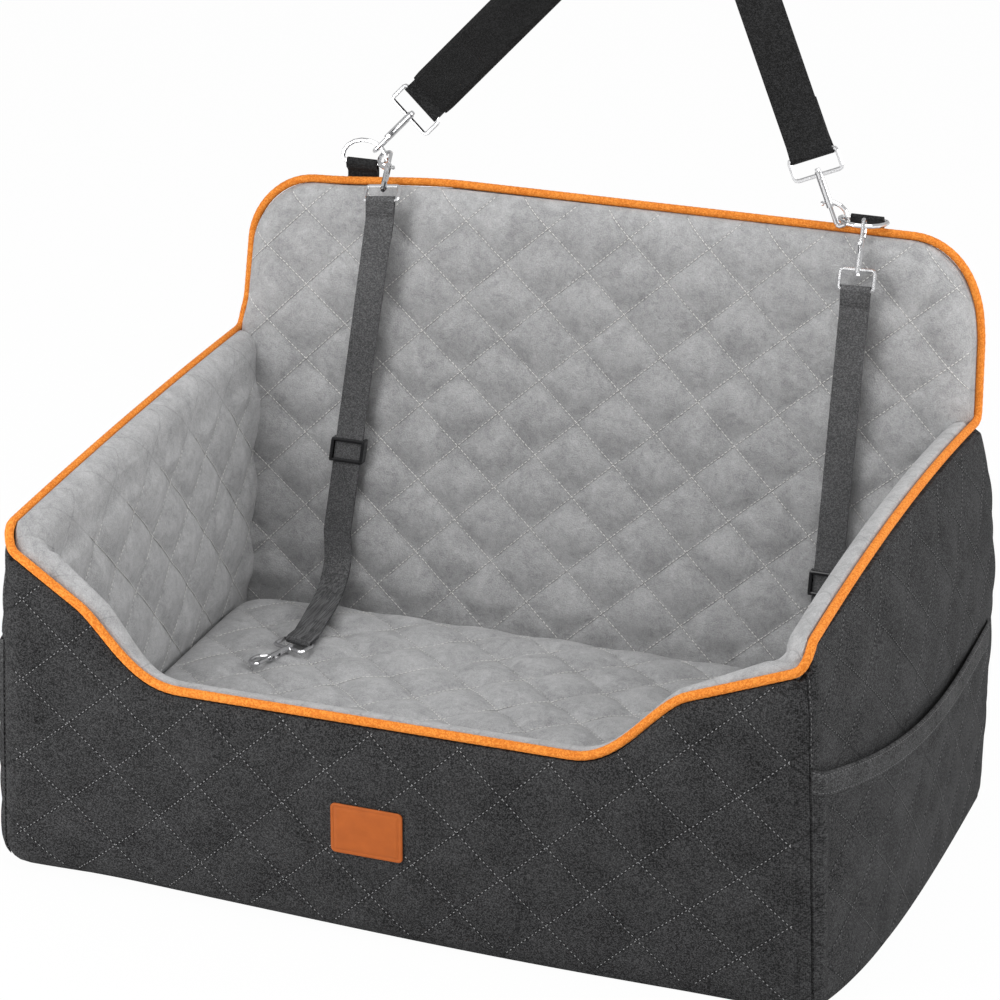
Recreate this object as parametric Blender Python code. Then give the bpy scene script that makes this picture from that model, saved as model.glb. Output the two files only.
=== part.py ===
# Dog car seat: a padded, quilted box with a high backrest, two seat-belt tethers
# and a shoulder strap clipped to two D-rings. Units are metres, +Z is up.
# Origin: centre of the base on the floor. +X is the seat's right side, +Y its back.

import math

import bpy
import bmesh
from mathutils import Matrix, Vector

# Box: outer planes lean and splay linearly with height and depth.
half_depth = 0.2355
front_lean = 0.0946
back_lean = 0.055
side_half = 0.343
side_splay = 0.0382
side_lean = 0.048

# Heights of the rims.
wall_front_top = 0.303
wall_back_top = 0.328
left_crown = 0.004
right_crown = 0.012
entry_top = 0.1875
entry_end_z = 0.2825
entry_left_low = 0.172
entry_right_low = 0.140
entry_left_knee = 0.256
entry_right_knee = 0.228
entry_left_slope = 0.68
entry_right_slope = 0.40
back_top = 0.477
back_corner = 0.065

# Layers, from the outer plane inwards.
gap = 0.0003
cover_thick = 0.004
lining_thick = 0.0085
wall_base_thick = 0.041
wall_taper = 0.048
back_base_thick = 0.036
back_taper = 0.0377
back_lining_thick = 0.0065
front_corner = 0.022
rear_corner = 0.010
inner_corner = 0.010
roll_radius = 0.012
back_roll_height = 0.024
back_roll_depth = 0.0125
cap_drop = 0.0100
side_bulge = 0.021
front_bow = 0.011
bow_centre = 0.030
bow_half = 0.290

# Base and floor.
base_thick = 0.003
board_thick = 0.005
floor_thick = 0.003

# Piping round the rims.
piping_radius = 0.0036
piping_inset = 0.001
piping_drop = 0.003

# Seat cushion.
cushion_edge_z = 0.086
cushion_crown_z = 0.0990
cushion_puff = 0.0065
cushion_side_gap = 0.0012
cushion_tuck = 0.011
cushion_cells_x = 34
cushion_cells_y = 22

# Side pockets.
pocket_front = -0.214
pocket_back = 0.198
pocket_bottom = 0.012
pocket_front_z = 0.205
pocket_back_z = 0.147
pocket_dip = 0.015
pocket_sag = 0.0095
pocket_thick = 0.0022
pocket_clear = 0.0006
binding_height = 0.020
binding_thick = 0.0034

# Leather label.
label_left = -0.0475
label_right = 0.0115
label_low = 0.0735
label_high = 0.1160
label_thick = 0.0016

# D-rings and their tabs.
ring_x = 0.2250
ring_half = 0.0205
ring_height = 0.0205
ring_bend = 0.004
ring_wire = 0.0019
ring_bar_z = 0.4853
ring_bar_out = 0.0003
ring_bar_y = half_depth + back_lean * ring_bar_z + ring_bar_out
right_ring_drop = math.radians(93.0)
tab_x = 0.2272
tab_width = 0.028
tab_thick = 0.0016

# Swivel bolt snap, for 25 mm webbing; the carrying strap has it larger.
barrel_radius = 0.0029
barrel_length = 0.023
bore_radius = 0.0019
bolt_radius = 0.0016
throat_length = 0.014
jaw_reach = 0.0103
jaw_wire = 0.0018
stem_radius = 0.0013
stem_length = 0.0062
eye_length = 0.017
eye_wire = 0.0017
eye_inner_half = 0.0130
bolt_travel = 0.0065
ring_offset = 0.0041
seat_clear = 0.0016
carry_scale = 1.10
carry_inner_half = 0.0197

# Tether webbing and slider.
tether_width = 0.025
tether_thick = 0.0014
layer_gap = 0.0003
fold_length = 0.034
slider_length = 0.022
slider_bar = 0.0016
left_pull = Vector((0.15, -0.83, -0.53))
right_pull = Vector((0.03, -0.342, -0.94))
hang_shift_left = 0.0025
hang_shift_right = 0.0012
left_slider_z = 0.237
right_slider_z = 0.177
end_shift_left = 0.027
end_shift_right = 0.018
end_reach_left = 0.1583
end_reach_right = 0.1543
end_height = 0.1115
tether_runs = {}
lower_axes = {}

# Carrying strap and its shoulder pad.
carry_width = 0.038
carry_thick = 0.0022
carry_fold = 0.045
left_run = Vector((0.679, 0.0, 0.735)).normalized()
right_run = Vector((-0.393, 0.0, 0.919)).normalized()
apex_radius = 0.028
twist_length = 0.060
pad_start = 0.010
pad_length = 0.180
pad_width = 0.0425
pad_thick = 0.0125

MM = 1000.0

for old in list(bpy.data.objects):
    bpy.data.objects.remove(old, do_unlink=True)


def material(name, colour, roughness, metallic=0.0):
    found = bpy.data.materials.get(name)
    if found:
        return found
    made = bpy.data.materials.new(name)
    made.use_nodes = True
    shader = made.node_tree.nodes["Principled BSDF"]
    shader.inputs["Base Color"].default_value = (*colour, 1.0)
    shader.inputs["Roughness"].default_value = roughness
    shader.inputs["Metallic"].default_value = metallic
    return made


CHARCOAL = ("charcoal_cloth", (0.045, 0.045, 0.047), 0.95)
PLUSH = ("grey_plush", (0.32, 0.32, 0.33), 0.9)
FOAM = ("foam", (0.75, 0.73, 0.66), 0.95)
BASE = ("base_cloth", (0.02, 0.02, 0.02), 0.9)
BOARD = ("base_board", (0.25, 0.22, 0.18), 0.7)
ORANGE = ("orange_piping", (0.80, 0.25, 0.04), 0.7)
LEATHER = ("label_leather", (0.60, 0.17, 0.04), 0.5)
CHROME = ("chrome", (0.80, 0.80, 0.80), 0.15, 1.0)
GREY_WEB = ("tether_webbing", (0.11, 0.11, 0.12), 0.8)
BLACK_WEB = ("carry_webbing", (0.03, 0.03, 0.03), 0.85)
PAD = ("pad_cloth", (0.025, 0.025, 0.025), 0.85)
BLACK_PLASTIC = ("black_plastic", (0.01, 0.01, 0.01), 0.3)


def add_object(name, mesh, look, origin=None):
    """Put a mesh into the scene; an origin moves the object's pivot there."""
    if origin is not None:
        mesh.transform(Matrix.Translation(-origin))
    made = bpy.data.objects.new(name, mesh)
    if origin is not None:
        made.location = origin
    mesh.materials.clear()
    mesh.materials.append(material(*look))
    bpy.context.scene.collection.objects.link(made)
    return made


def finish_mesh(mesh_tool, name):
    bmesh.ops.recalc_face_normals(mesh_tool, faces=mesh_tool.faces)
    if mesh_tool.calc_volume(signed=True) < 0.0:
        bmesh.ops.reverse_faces(mesh_tool, faces=mesh_tool.faces)
    mesh = bpy.data.meshes.new(name)
    mesh_tool.to_mesh(mesh)
    mesh_tool.free()
    mesh.shade_smooth()
    mesh.set_sharp_from_angle(angle=math.radians(35))
    return mesh


def loft(name, rings, closed=False):
    """Skin a list of rings of equal length; open lofts get end caps."""
    tool = bmesh.new()
    rows = [[tool.verts.new(point) for point in ring] for ring in rings]
    count = len(rows[0])
    pairs = list(zip(rows, rows[1:]))
    if closed:
        pairs.append((rows[-1], rows[0]))
    for lower, upper in pairs:
        for i in range(count):
            j = (i + 1) % count
            tool.faces.new((lower[i], lower[j], upper[j], upper[i]))
    if not closed:
        tool.faces.new(rows[0])
        tool.faces.new(rows[-1])
    return finish_mesh(tool, name)


def circle_ring(centre, side, up, radius, count):
    ring = []
    for i in range(count):
        angle = 2.0 * math.pi * (i + 0.5) / count
        ring.append(centre + side * (radius * math.cos(angle)) + up * (radius * math.sin(angle)))
    return ring


def tube(name, path, radius, count, closed=False, side=None):
    """Round bar along a path; side is a steady vector across the path."""
    rings = []
    total = len(path)
    for i, point in enumerate(path):
        before = path[(i - 1) % total] if closed or i else path[0]
        after = path[(i + 1) % total] if closed or i < total - 1 else path[-1]
        along = (after - before).normalized()
        first = side if side is not None else Vector((0, 0, 1))
        first = (first - along * first.dot(along)).normalized()
        rings.append(circle_ring(point, first, along.cross(first), radius, count))
    return loft(name, rings, closed)


def ribbon(name, path, widths, thickness, width):
    """Flat webbing: a rectangular section along a path, with its own width direction."""
    rings = []
    last = len(path) - 1
    for i, point in enumerate(path):
        along = (path[min(i + 1, last)] - path[max(i - 1, 0)]).normalized()
        across = widths[i] if isinstance(widths, list) else widths
        across = across.normalized()
        normal = along.cross(across).normalized()
        half = across * (width * 0.5)
        rise = normal * (thickness * 0.5)
        rings.append([point - half - rise, point + half - rise, point + half + rise, point - half + rise])
    return loft(name, rings)


def boolean(base, others, operation):
    """Apply exact booleans to a mesh object and return the resulting mesh."""
    for other in others:
        other.hide_render = True
        other.display_type = 'WIRE'
        cut = base.modifiers.new("cut", 'BOOLEAN')
        cut.operation = operation
        cut.solver = 'EXACT'
        cut.object = other
    view = bpy.context.evaluated_depsgraph_get()
    view.update()
    result = bpy.data.meshes.new_from_object(base.evaluated_get(view))
    base.modifiers.clear()
    for other in others:
        bpy.data.objects.remove(other, do_unlink=True)
    return result


def temp(mesh):
    made = bpy.data.objects.new("temp", mesh)
    bpy.context.scene.collection.objects.link(made)
    return made


def merge(meshes, cutters=()):
    """Union of meshes, then the cutters taken away."""
    base = temp(meshes[0])
    mesh = boolean(base, [temp(other) for other in meshes[1:]], 'UNION')
    base.data = mesh
    if cutters:
        mesh = boolean(base, [temp(other) for other in cutters], 'DIFFERENCE')
    bpy.data.objects.remove(base, do_unlink=True)
    mesh.shade_smooth()
    mesh.set_sharp_from_angle(angle=math.radians(35))
    return mesh


# Planes and rims of the box.
def y_front(z):
    return -(half_depth + front_lean * z)


def y_back(z):
    return half_depth + back_lean * z


def x_side(y, z):
    return side_half + side_splay * y - side_lean * z


def wall_thick(z):
    return wall_base_thick - wall_taper * z


def back_thick(z):
    return back_base_thick - back_taper * z


def backrest_face(z):
    """Front face of the backrest."""
    return y_back(z) - back_thick(z)


def entry_shape(hand):
    """Where the low entry ends, where its curve straightens, and the slope beyond."""
    if hand > 0:
        return entry_right_low, entry_right_knee, entry_right_slope
    return entry_left_low, entry_left_knee, entry_left_slope


# Half width of the flat front, between the tangents of its two corners.
entry_end = x_side(y_front(entry_end_z) + front_corner, entry_end_z) - front_corner * math.sqrt(1 + side_splay ** 2)


def entry_height(x):
    """Top edge of the front wall: a low entry, a curve on each side and a rising shoulder."""
    low, knee, slope = entry_shape(1 if x > 0 else -1)
    run = max(abs(x) - low, 0.0)
    share = min(run / (knee - low), 1.0)
    step = entry_end_z - entry_top - slope * (entry_end - low)
    ease = share * share * (3.0 - 2.0 * share)
    return entry_top + step * 0.5 * (1.0 - math.cos(math.pi * share)) + slope * run * ease


def side_height(y, crown):
    low = y_front(wall_front_top)
    high = y_back(wall_back_top)
    share = (y - low) / (high - low)
    return wall_front_top + (wall_back_top - wall_front_top) * share + crown * 4 * share * (1 - share)


side_slope = math.sqrt(1.0 + side_splay ** 2)
side_normal = Vector((1.0, -side_splay, 0.0)) / side_slope
front_normal = Vector((0.0, -1.0, 0.0))
turn = math.acos(side_normal.dot(front_normal))


def corner_centre(z, depth):
    """Centre of the vertical corner's arc for a layer at this depth, right-hand corner."""
    inner_depth = wall_thick(z) - lining_thick
    inner = wall_thick(z) + inner_corner
    share = min(max((depth - cover_thick) / (inner_depth - cover_thick), 0.0), 1.0)
    away = front_corner + (inner - front_corner) * share
    y = y_front(z) + away
    x = x_side(y, z) - away * side_slope
    return Vector((x, y, z)), away - depth


def wall_point(place, z, depth):
    """Point at a depth below the outer plane. place is (kind, value, hand)."""
    kind, value, hand = place
    if kind == "side":
        x = x_side(value, z) - depth * side_slope
        return Vector((hand * x, value, z))
    if kind == "front":
        return Vector((value, y_front(z) + depth, z))
    centre, radius = corner_centre(z, depth)
    angle = turn * value
    direction = side_normal * math.cos(angle) + (front_normal - side_normal * math.cos(turn)) * (
        math.sin(angle) / math.sin(turn))
    point = centre + direction.normalized() * radius
    return Vector((hand * point.x, point.y, z))


corner_end_share = 0.5 - 0.012
side_steps = 7
scoop_steps = 7


def side_places(hand):
    """Stations of a side wall from its back end to the middle of the front corner."""
    places = []
    for i in range(side_steps + 1):
        places.append(("side", i / side_steps, hand))
    for i in (1, 2, 3):
        places.append(("corner", corner_end_share * i / 3, hand))
    return places


def place_at(place, z, depth):
    """Side stations run from the butt end at the backrest to the corner's tangent."""
    kind, value, hand = place
    if kind == "side":
        centre, radius = corner_centre(z, depth)
        first = y_back(z) - back_thick(z) - gap
        last = centre.y + side_normal.y * radius
        return wall_point(("side", first + (last - first) * value, hand), z, depth)
    if kind == "front" and abs(value) > 0.2:
        full = corner_centre(entry_end_z, 0.0)[0].x
        share = (abs(value) - 0.2) / (full - 0.2)
        x = 0.2 + share * (corner_centre(z, depth)[0].x - 0.2)
        return wall_point(("front", math.copysign(x, value), hand), z, depth)
    return wall_point(place, z, depth)


def rim_height(place):
    """Height of the wall's top edge at a station."""
    kind, value, hand = place
    crown = right_crown if hand > 0 else left_crown
    if kind == "side":
        point = place_at(place, wall_back_top, 0.0)
        return side_height(point.y, crown)
    if kind == "front":
        return entry_height(value)
    centre, radius = corner_centre(entry_end_z, 0.0)
    front_end = entry_height(hand * centre.x)
    side_end = wall_front_top
    share = value
    return side_end + (front_end - side_end) * (3 * share ** 2 - 2 * share ** 3)


def front_places():
    """Stations of the front wall, left corner's middle to right corner's middle."""
    centre, radius = corner_centre(entry_end_z, 0.0)
    end = centre.x
    places = [("corner", 1 - corner_end_share * i / 3, -1) for i in (3, 2, 1)]
    left_low = -entry_left_low
    right_low = entry_right_low
    left_high = -end
    right_high = end
    for i in range(scoop_steps + 1):
        places.append(("front", left_high + (left_low - left_high) * i / scoop_steps, 1))
    places.append(("front", left_low + (right_low - left_low) / 3, 1))
    places.append(("front", left_low + (right_low - left_low) * 2 / 3, 1))
    for i in range(scoop_steps + 1):
        places.append(("front", right_low + (right_high - right_low) * i / scoop_steps, 1))
    places += [("corner", 1 - corner_end_share * i / 3, 1) for i in (1, 2, 3)]
    return places


def rim_normals(places):
    """Direction square to the top edge, in the wall's own plane, at each station."""
    tops = [place_at(place, rim_height(place), 0.0) for place in places]
    normals = []
    for i in range(len(places)):
        along = (tops[min(i + 1, len(tops) - 1)] - tops[max(i - 1, 0)]).normalized()
        normals.append((Vector((0, 0, 1)) - along * along.z).normalized())
    return normals


def near_rim(place, normal, depth, drop):
    """Point a little below the top edge, measured square to the edge."""
    return place_at(place, rim_height(place) - drop / normal.z, depth)


def bulge(place, share):
    """How far the quilted cover swells outside its plane, by height share."""
    kind, value, hand = place
    share = min(max(share, 0.0), 1.0)
    rise = (1.0 - share ** 8) * (0.85 + 0.15 * math.sin(math.pi * share))
    if kind == "side":
        value = min(max(value, 0.0), 1.0)
        return side_bulge * rise * (1.0 - value ** 8) * (0.75 + 0.25 * math.sin(math.pi * value))
    if kind == "front":
        return front_bow * rise * max(0.0, 1.0 - ((value - bow_centre) / bow_half) ** 2)
    return 0.0


def rear_swell(z):
    """Swell of the covers at the rear corners, below the walls' top."""
    return bulge(("side", 0.0, 1), z / wall_back_top)


cover_shares = (0.25, 0.5, 0.75, 0.9)
foot_round = 0.010


def cover_ring(place, normal):
    top = rim_height(place)
    foot = bulge(place, foot_round / top)
    ring = [place_at(place, 0.0, 0.003 - 0.8 * foot), place_at(place, foot_round, -foot)]
    for share in cover_shares:
        z = top * share
        ring.append(place_at(place, z, -bulge(place, share)))
    ring.append(near_rim(place, normal, 0.0, piping_drop + piping_radius + 0.0007))
    ring.append(near_rim(place, normal, cover_thick, piping_drop + piping_radius + 0.0007))
    ring.append(place_at(place, 0.0, cover_thick))
    return ring


floor_z = base_thick + board_thick + 2 * gap


def foam_ring(place, normal):
    drop = cap_drop + gap
    top = rim_height(place)
    back = lining_thick + gap
    return [place_at(place, floor_z, cover_thick + gap),
            near_rim(place, normal, cover_thick + gap, drop),
            near_rim(place, normal, wall_thick(top - drop) - back, drop),
            place_at(place, floor_z, wall_thick(floor_z) - back)]


def lining_ring(place, normal):
    top = rim_height(place)
    thick = wall_thick(top)
    cap = cover_thick + 0.001
    ring = [place_at(place, floor_z, wall_thick(floor_z)),
            near_rim(place, normal, wall_thick(top - roll_radius), roll_radius)]
    for degrees in (30, 60, 90):
        angle = math.radians(degrees)
        ring.append(near_rim(place, normal, thick - roll_radius * (1 - math.cos(angle)),
                             roll_radius * (1 - math.sin(angle))))
    ring.append(near_rim(place, normal, cap + 0.0035, 0.0))
    ring.append(near_rim(place, normal, cap + 0.0008, 0.0012))
    ring.append(near_rim(place, normal, cap, 0.0038))
    ring.append(near_rim(place, normal, cap, cap_drop))
    ring.append(near_rim(place, normal, wall_thick(top - cap_drop) - lining_thick, cap_drop))
    ring.append(place_at(place, floor_z, wall_thick(floor_z) - lining_thick))
    return ring


def build_walls():
    walls = (("left", side_places(-1)), ("front", front_places()), ("right", side_places(1)))
    for name, places in walls:
        normals = rim_normals(places)
        stations = list(zip(places, normals))
        add_object(name + "_cover", loft(name, [cover_ring(p, n) for p, n in stations]), CHARCOAL)
        add_object(name + "_foam", loft(name, [foam_ring(p, n) for p, n in stations]), FOAM)
        add_object(name + "_lining", loft(name, [lining_ring(p, n) for p, n in stations]), PLUSH)


# Backrest: trays and a board swept round one outline in the leaning back plane.
corner_steps = 6


def back_outline(inset, depth, bottom, split, swell_top=0.0):
    """Outline points, up the left edge, over the top and down the right edge.

    Each entry of inset and depth is a pair: below the split height, and above it.
    Below swell_top the flanks swell out with the side covers."""
    def edge(z, above):
        d = depth(z)[above]
        i = inset[above]
        y = y_back(z) - d
        swell = rear_swell(z) if z < swell_top else 0.0
        return Vector((x_side(y, z) + swell - i * side_slope, y, z))

    centre_z = back_top - back_corner
    half = [edge(bottom, 0), edge(split * 0.5, 0), edge(split * 0.8, 0), edge(split - 0.0025, 0),
            edge(split + 0.0025, 1), edge(centre_z, 1)]
    side = edge(centre_z, 1).x + inset[1] * side_slope
    centre_x = side - back_corner
    radius = back_corner - inset[1]
    for i in range(1, corner_steps + 1):
        angle = math.pi * 0.5 * i / corner_steps
        z = centre_z + radius * math.sin(angle)
        y = y_back(z) - depth(z)[1]
        half.append(Vector((centre_x + radius * math.cos(angle), y, z)))
    z = back_top - inset[1]
    half.append(Vector((centre_x * 0.4, y_back(z) - depth(z)[1], z)))
    left = [Vector((-p.x, p.y, p.z)) for p in half]
    return left + half[::-1]


def back_rings(levels, bottom, split, swell_top):
    rings = []
    for below, above in levels:
        def depth(z, low=below[1], high=above[1]):
            return (low(z) if callable(low) else low, high(z) if callable(high) else high)
        rings.append(back_outline((below[0], above[0]), depth, bottom, split, swell_top))
    return rings


def build_backrest():
    under_piping = piping_drop + piping_radius + 0.0007
    deep = 0.060
    beyond = 0.005
    shell_levels = [((0.010, 0.0), (under_piping + 0.0012, 0.0)),
                    ((0.003, 0.003), (under_piping + 0.0004, 0.0003)),
                    ((0.0, 0.010), (under_piping, 0.0010)),
                    ((0.0, back_thick), (under_piping, 0.0080))]
    hollow_levels = [((0.010, cover_thick), (-beyond, cover_thick)),
                     ((0.0052, 0.0052), (-beyond, cover_thick + 0.001)),
                     ((cover_thick, 0.010), (-beyond, cover_thick + 0.002)),
                     ((cover_thick, deep), (-beyond, deep))]
    cover_split = wall_back_top - under_piping - 0.0025
    shell = loft("shell", back_rings(shell_levels, 0.0, cover_split, cover_split))
    hollow = loft("hollow", back_rings(hollow_levels, -0.010, cover_split, cover_split))
    add_object("back_cover", merge([shell], [hollow]), CHARCOAL)

    def front(z):
        return back_thick(z)

    def behind(amount):
        return lambda z: back_thick(z) - amount

    def roll(degrees):
        angle = math.radians(degrees)
        return (back_roll_height * (1 - math.sin(angle)),
                lambda z: back_thick(z) - min(back_roll_depth, back_thick(z) - 0.0057) * (1 - math.cos(angle)))

    foam_side = 0.0055
    foam_top = cap_drop + gap
    foam_front = back_lining_thick + gap
    foam_levels = [((0.0103, 0.0043), (foam_top + 0.0004, 0.0043)),
                   ((0.0068, 0.0068), (foam_top + 0.0002, 0.0045)),
                   ((foam_side, 0.0103), (foam_top, 0.0048)),
                   ((foam_side, behind(foam_front)), (foam_top, behind(foam_front)))]
    foam_split = wall_back_top - 0.0012
    add_object("back_foam", loft("back_foam", back_rings(foam_levels, floor_z, foam_split, foam_split * 0.6)), FOAM)

    lining_split = wall_back_top + 0.0045
    side_inset = 0.0052
    cap = cover_thick + 0.001
    lining_levels = [((0.0160, front), roll(0)),
                     ((0.0090, front), roll(30)),
                     ((0.0060, behind(0.0005)), roll(60)),
                     ((side_inset, behind(0.0015)), roll(90)),
                     ((side_inset, behind(0.0045)), (0.0, cap)),
                     ((side_inset + 0.0004, behind(back_lining_thick - 0.0004)), (cap_drop, cap)),
                     ((0.0100, behind(back_lining_thick)), (cap_drop, behind(back_lining_thick)))]
    add_object("back_lining", loft("back_lining", back_rings(lining_levels, floor_z, lining_split, lining_split * 0.6)), PLUSH)


def build_piping():
    places = side_places(-1)[:-1] + front_places()[1:-1] + side_places(1)[:-1][::-1]
    path = []
    tops = [place_at(place, rim_height(place), piping_inset) for place in places]
    for i, top in enumerate(tops):
        along = (tops[min(i + 1, len(tops) - 1)] - tops[max(i - 1, 0)]).normalized()
        normal = (Vector((0, 0, 1)) - along * along.z).normalized()
        path.append(top - normal * piping_drop)
    for hand, order in ((-1, 0), (1, len(path))):
        z = wall_back_top - piping_drop
        y = y_back(z) - piping_inset
        x = x_side(y, z) - piping_inset
        path.insert(order if order == 0 else len(path), Vector((hand * x, y, z)))
    add_object("wall_piping", tube("wall_piping", path, piping_radius, 8), ORANGE)

    bottom = wall_back_top - piping_drop + 2 * piping_radius + gap
    inset = piping_drop

    def depth(z):
        return (piping_inset, piping_inset)
    ring = back_outline((piping_inset, piping_inset), depth, bottom, bottom + 0.03)
    lifted = []
    for point in ring:
        drop = piping_drop - piping_inset
        share = min(max((point.z - (back_top - back_corner)) / back_corner, 0.0), 1.0)
        lifted.append(point - Vector((0, 0, drop * share)))
    last = len(lifted) - 1
    keep = [p for i, p in enumerate(lifted) if min(i, last - i) not in (1, 2)]
    add_object("backrest_piping", tube("backrest_piping", keep, piping_radius, 8, side=Vector((0, 1, 0))), ORANGE)


def plan_outline(z, depth, steps=3):
    """Closed plan outline at one height, inside all four outer planes."""
    points = []
    for hand in (-1, 1):
        part = []
        rear_y = y_back(z) - depth
        corner = max(rear_corner - depth, 0.004)
        rear_x = x_side(rear_y - corner, z) - depth
        for i in range(steps + 1):
            angle = math.pi * 0.5 * (1 - i / steps)
            part.append(Vector((hand * (rear_x - corner + corner * math.cos(angle)),
                                rear_y - corner + corner * math.sin(angle), z)))
        for i in range(steps + 1):
            part.append(wall_point(("corner", i / steps, hand), z, depth))
        points.append(part)
    return points[0] + points[1][::-1]


def slab(name, depth_low, depth_high, z_low, z_high):
    return loft(name, [plan_outline(z_low, depth_low), plan_outline(z_high, depth_high)])


def inner_outline(z, clear):
    """Plan outline inside the linings."""
    half = []
    y_low = y_front(z) + wall_thick(z) + clear
    y_high = y_back(z) - back_thick(z) - clear
    radius = inner_corner
    for hand in (-1, 1):
        part = []
        x_high = x_side(y_high, z) - (wall_thick(z) + clear) * side_slope
        part.append(Vector((hand * x_high, y_high, z)))
        x_low = x_side(y_low + radius, z) - (wall_thick(z) + clear) * side_slope
        for i in range(4):
            angle = math.pi * 0.5 * i / 3
            part.append(Vector((hand * (x_low - radius + radius * math.cos(angle)),
                                y_low + radius - radius * math.sin(angle), z)))
        half.append(part)
    return half[0] + half[1][::-1]


def build_base():
    inside = cover_thick + gap
    add_object("base_panel", slab("base_panel", inside, inside, 0.0, base_thick), BASE)
    low = base_thick + gap
    add_object("base_board", slab("base_board", inside + 0.002, inside + 0.002, low, low + board_thick), BOARD)
    add_object("floor_lining", loft("floor_lining", [inner_outline(floor_z, gap),
                                                     inner_outline(floor_z + floor_thick, gap)]), PLUSH)


def build_cushion():
    """Crowned quilted cushion: sewn diamonds on top, drawn-in sides, a flat underside."""
    bottom = floor_z + floor_thick + gap
    middle = 0.5 * (bottom + cushion_edge_z)
    y_low = y_front(bottom) + wall_thick(bottom) + cushion_side_gap
    y_high = y_back(bottom) - back_thick(bottom) - cushion_side_gap
    nx, ny = cushion_cells_x, cushion_cells_y

    def outline(u, v, tuck, z):
        y = (y_low + y_high) * 0.5 + v * ((y_high - y_low) * 0.5 - tuck)
        half = x_side(y, middle) - wall_thick(middle) * side_slope - cushion_side_gap - tuck
        corner = 0.012 * (abs(u) ** 12) * (abs(v) ** 12)
        return Vector((u * (half - corner), y - math.copysign(corner, v), z))

    def top(i, j):
        u = 2.0 * i / nx - 1.0
        v = 2.0 * j / ny - 1.0
        k = (i - nx / 2) * 0.5
        m = (j - ny / 2) * 0.5
        puff = math.sqrt(abs(math.sin(math.pi * (k + m) * 0.5) * math.sin(math.pi * (k - m) * 0.5)))
        dome = (1.0 - abs(u) ** 10) * (1.0 - abs(v) ** 8)
        rise = 1.0 - 0.25 * (u * u + v * v)
        z = cushion_edge_z + (cushion_crown_z - cushion_edge_z) * dome * rise + cushion_puff * puff * dome
        return outline(u, v, cushion_tuck, z)

    tool = bmesh.new()
    grid = [[tool.verts.new(top(i, j)) for j in range(ny + 1)] for i in range(nx + 1)]
    for i in range(nx):
        for j in range(ny):
            a, b, c, d = grid[i][j], grid[i + 1][j], grid[i + 1][j + 1], grid[i][j + 1]
            if (i + j) % 2 == (nx // 2 + ny // 2) % 2:
                tool.faces.new((a, b, c))
                tool.faces.new((a, c, d))
            else:
                tool.faces.new((a, b, d))
                tool.faces.new((b, c, d))
    border = [(i, 0) for i in range(nx)] + [(nx, j) for j in range(ny)]
    border += [(i, ny) for i in range(nx, 0, -1)] + [(0, j) for j in range(ny, 0, -1)]
    previous = [grid[i][j] for i, j in border]
    for tuck, z in ((0.0025, cushion_edge_z - 0.012), (0.0, middle), (0.004, bottom + 0.010),
                    (cushion_tuck, bottom)):
        row = [tool.verts.new(outline(2.0 * i / nx - 1.0, 2.0 * j / ny - 1.0, tuck, z)) for i, j in border]
        for a in range(len(row)):
            b = (a + 1) % len(row)
            tool.faces.new((previous[a], previous[b], row[b], row[a]))
        previous = row
    tool.faces.new(previous)
    add_object("seat_cushion", finish_mesh(tool, "seat_cushion"), PLUSH)


def side_share(y, z):
    """Inverse of the side stations: share along the wall from its back end."""
    centre, radius = corner_centre(z, 0.0)
    first = y_back(z) - back_thick(z) - gap
    last = centre.y + side_normal.y * radius
    return (y - first) / (last - first)


def build_pockets():
    steps = 8
    rows = 4
    for name, hand in (("left", -1), ("right", 1)):
        def top_z(share):
            straight = pocket_back_z + (pocket_front_z - pocket_back_z) * share
            return straight - pocket_dip * math.sin(math.pi * share)

        def outer(share, height, extra):
            y = pocket_back + (pocket_front - pocket_back) * share
            value = side_share(y, 0.1)
            place = ("side", value, hand)
            z = pocket_bottom + (top_z(share) - pocket_bottom) * height
            wall = bulge(place, z / rim_height(place))
            sag = height * (0.0016 + pocket_sag * math.sin(math.pi * share) ** 1.5)
            return wall_point(("side", y, hand), z, -(wall + pocket_clear + sag + extra))

        rings = []
        for i in range(steps + 1):
            share = i / steps
            end = 1.0 - (binding_height + gap) / (top_z(share) - pocket_bottom)
            inside = [outer(share, end * j / rows, 0.0) for j in range(rows + 1)]
            outside = [outer(share, end * j / rows, pocket_thick) for j in range(rows, -1, -1)]
            rings.append(inside + outside)
        add_object(name + "_pocket", loft("pocket", rings), CHARCOAL)
        rings = []
        for i in range(steps + 1):
            share = i / steps
            low = 1.0 - binding_height / (top_z(share) - pocket_bottom)
            mid = 1.0 - 0.25 * binding_height / (top_z(share) - pocket_bottom)
            side = (binding_thick - pocket_thick) * 0.5
            rings.append([outer(share, low, 0.0), outer(share, mid, 0.0), outer(share, 1.0, side),
                          outer(share, 1.0, pocket_thick), outer(share, mid, pocket_thick + side),
                          outer(share, low, pocket_thick + side)])
        add_object(name + "_pocket_binding", loft("binding", rings), CHARCOAL)


def build_label():
    """Leather patch sewn flat on the front panel, with rounded corners."""
    def face(x, z, lift):
        place = ("front", x, 1)
        return wall_point(place, z, -(bulge(place, z / entry_height(x)) + 2 * gap + lift))
    radius = 0.0035
    centres = ((label_right - radius, label_high - radius, 0.0), (label_left + radius, label_high - radius, 90.0),
               (label_left + radius, label_low + radius, 180.0), (label_right - radius, label_low + radius, 270.0))
    rings = []
    for shrink, lift in ((0.0, 0.0), (0.0, label_thick - 0.0004), (0.0006, label_thick)):
        ring = []
        for cx, cz, start in centres:
            for i in range(4):
                angle = math.radians(start + 30.0 * i)
                ring.append(face(cx + (radius - shrink) * math.cos(angle), cz + (radius - shrink) * math.sin(angle),
                                 lift))
        rings.append(ring)
    add_object("label", loft("label", rings), LEATHER)


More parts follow.
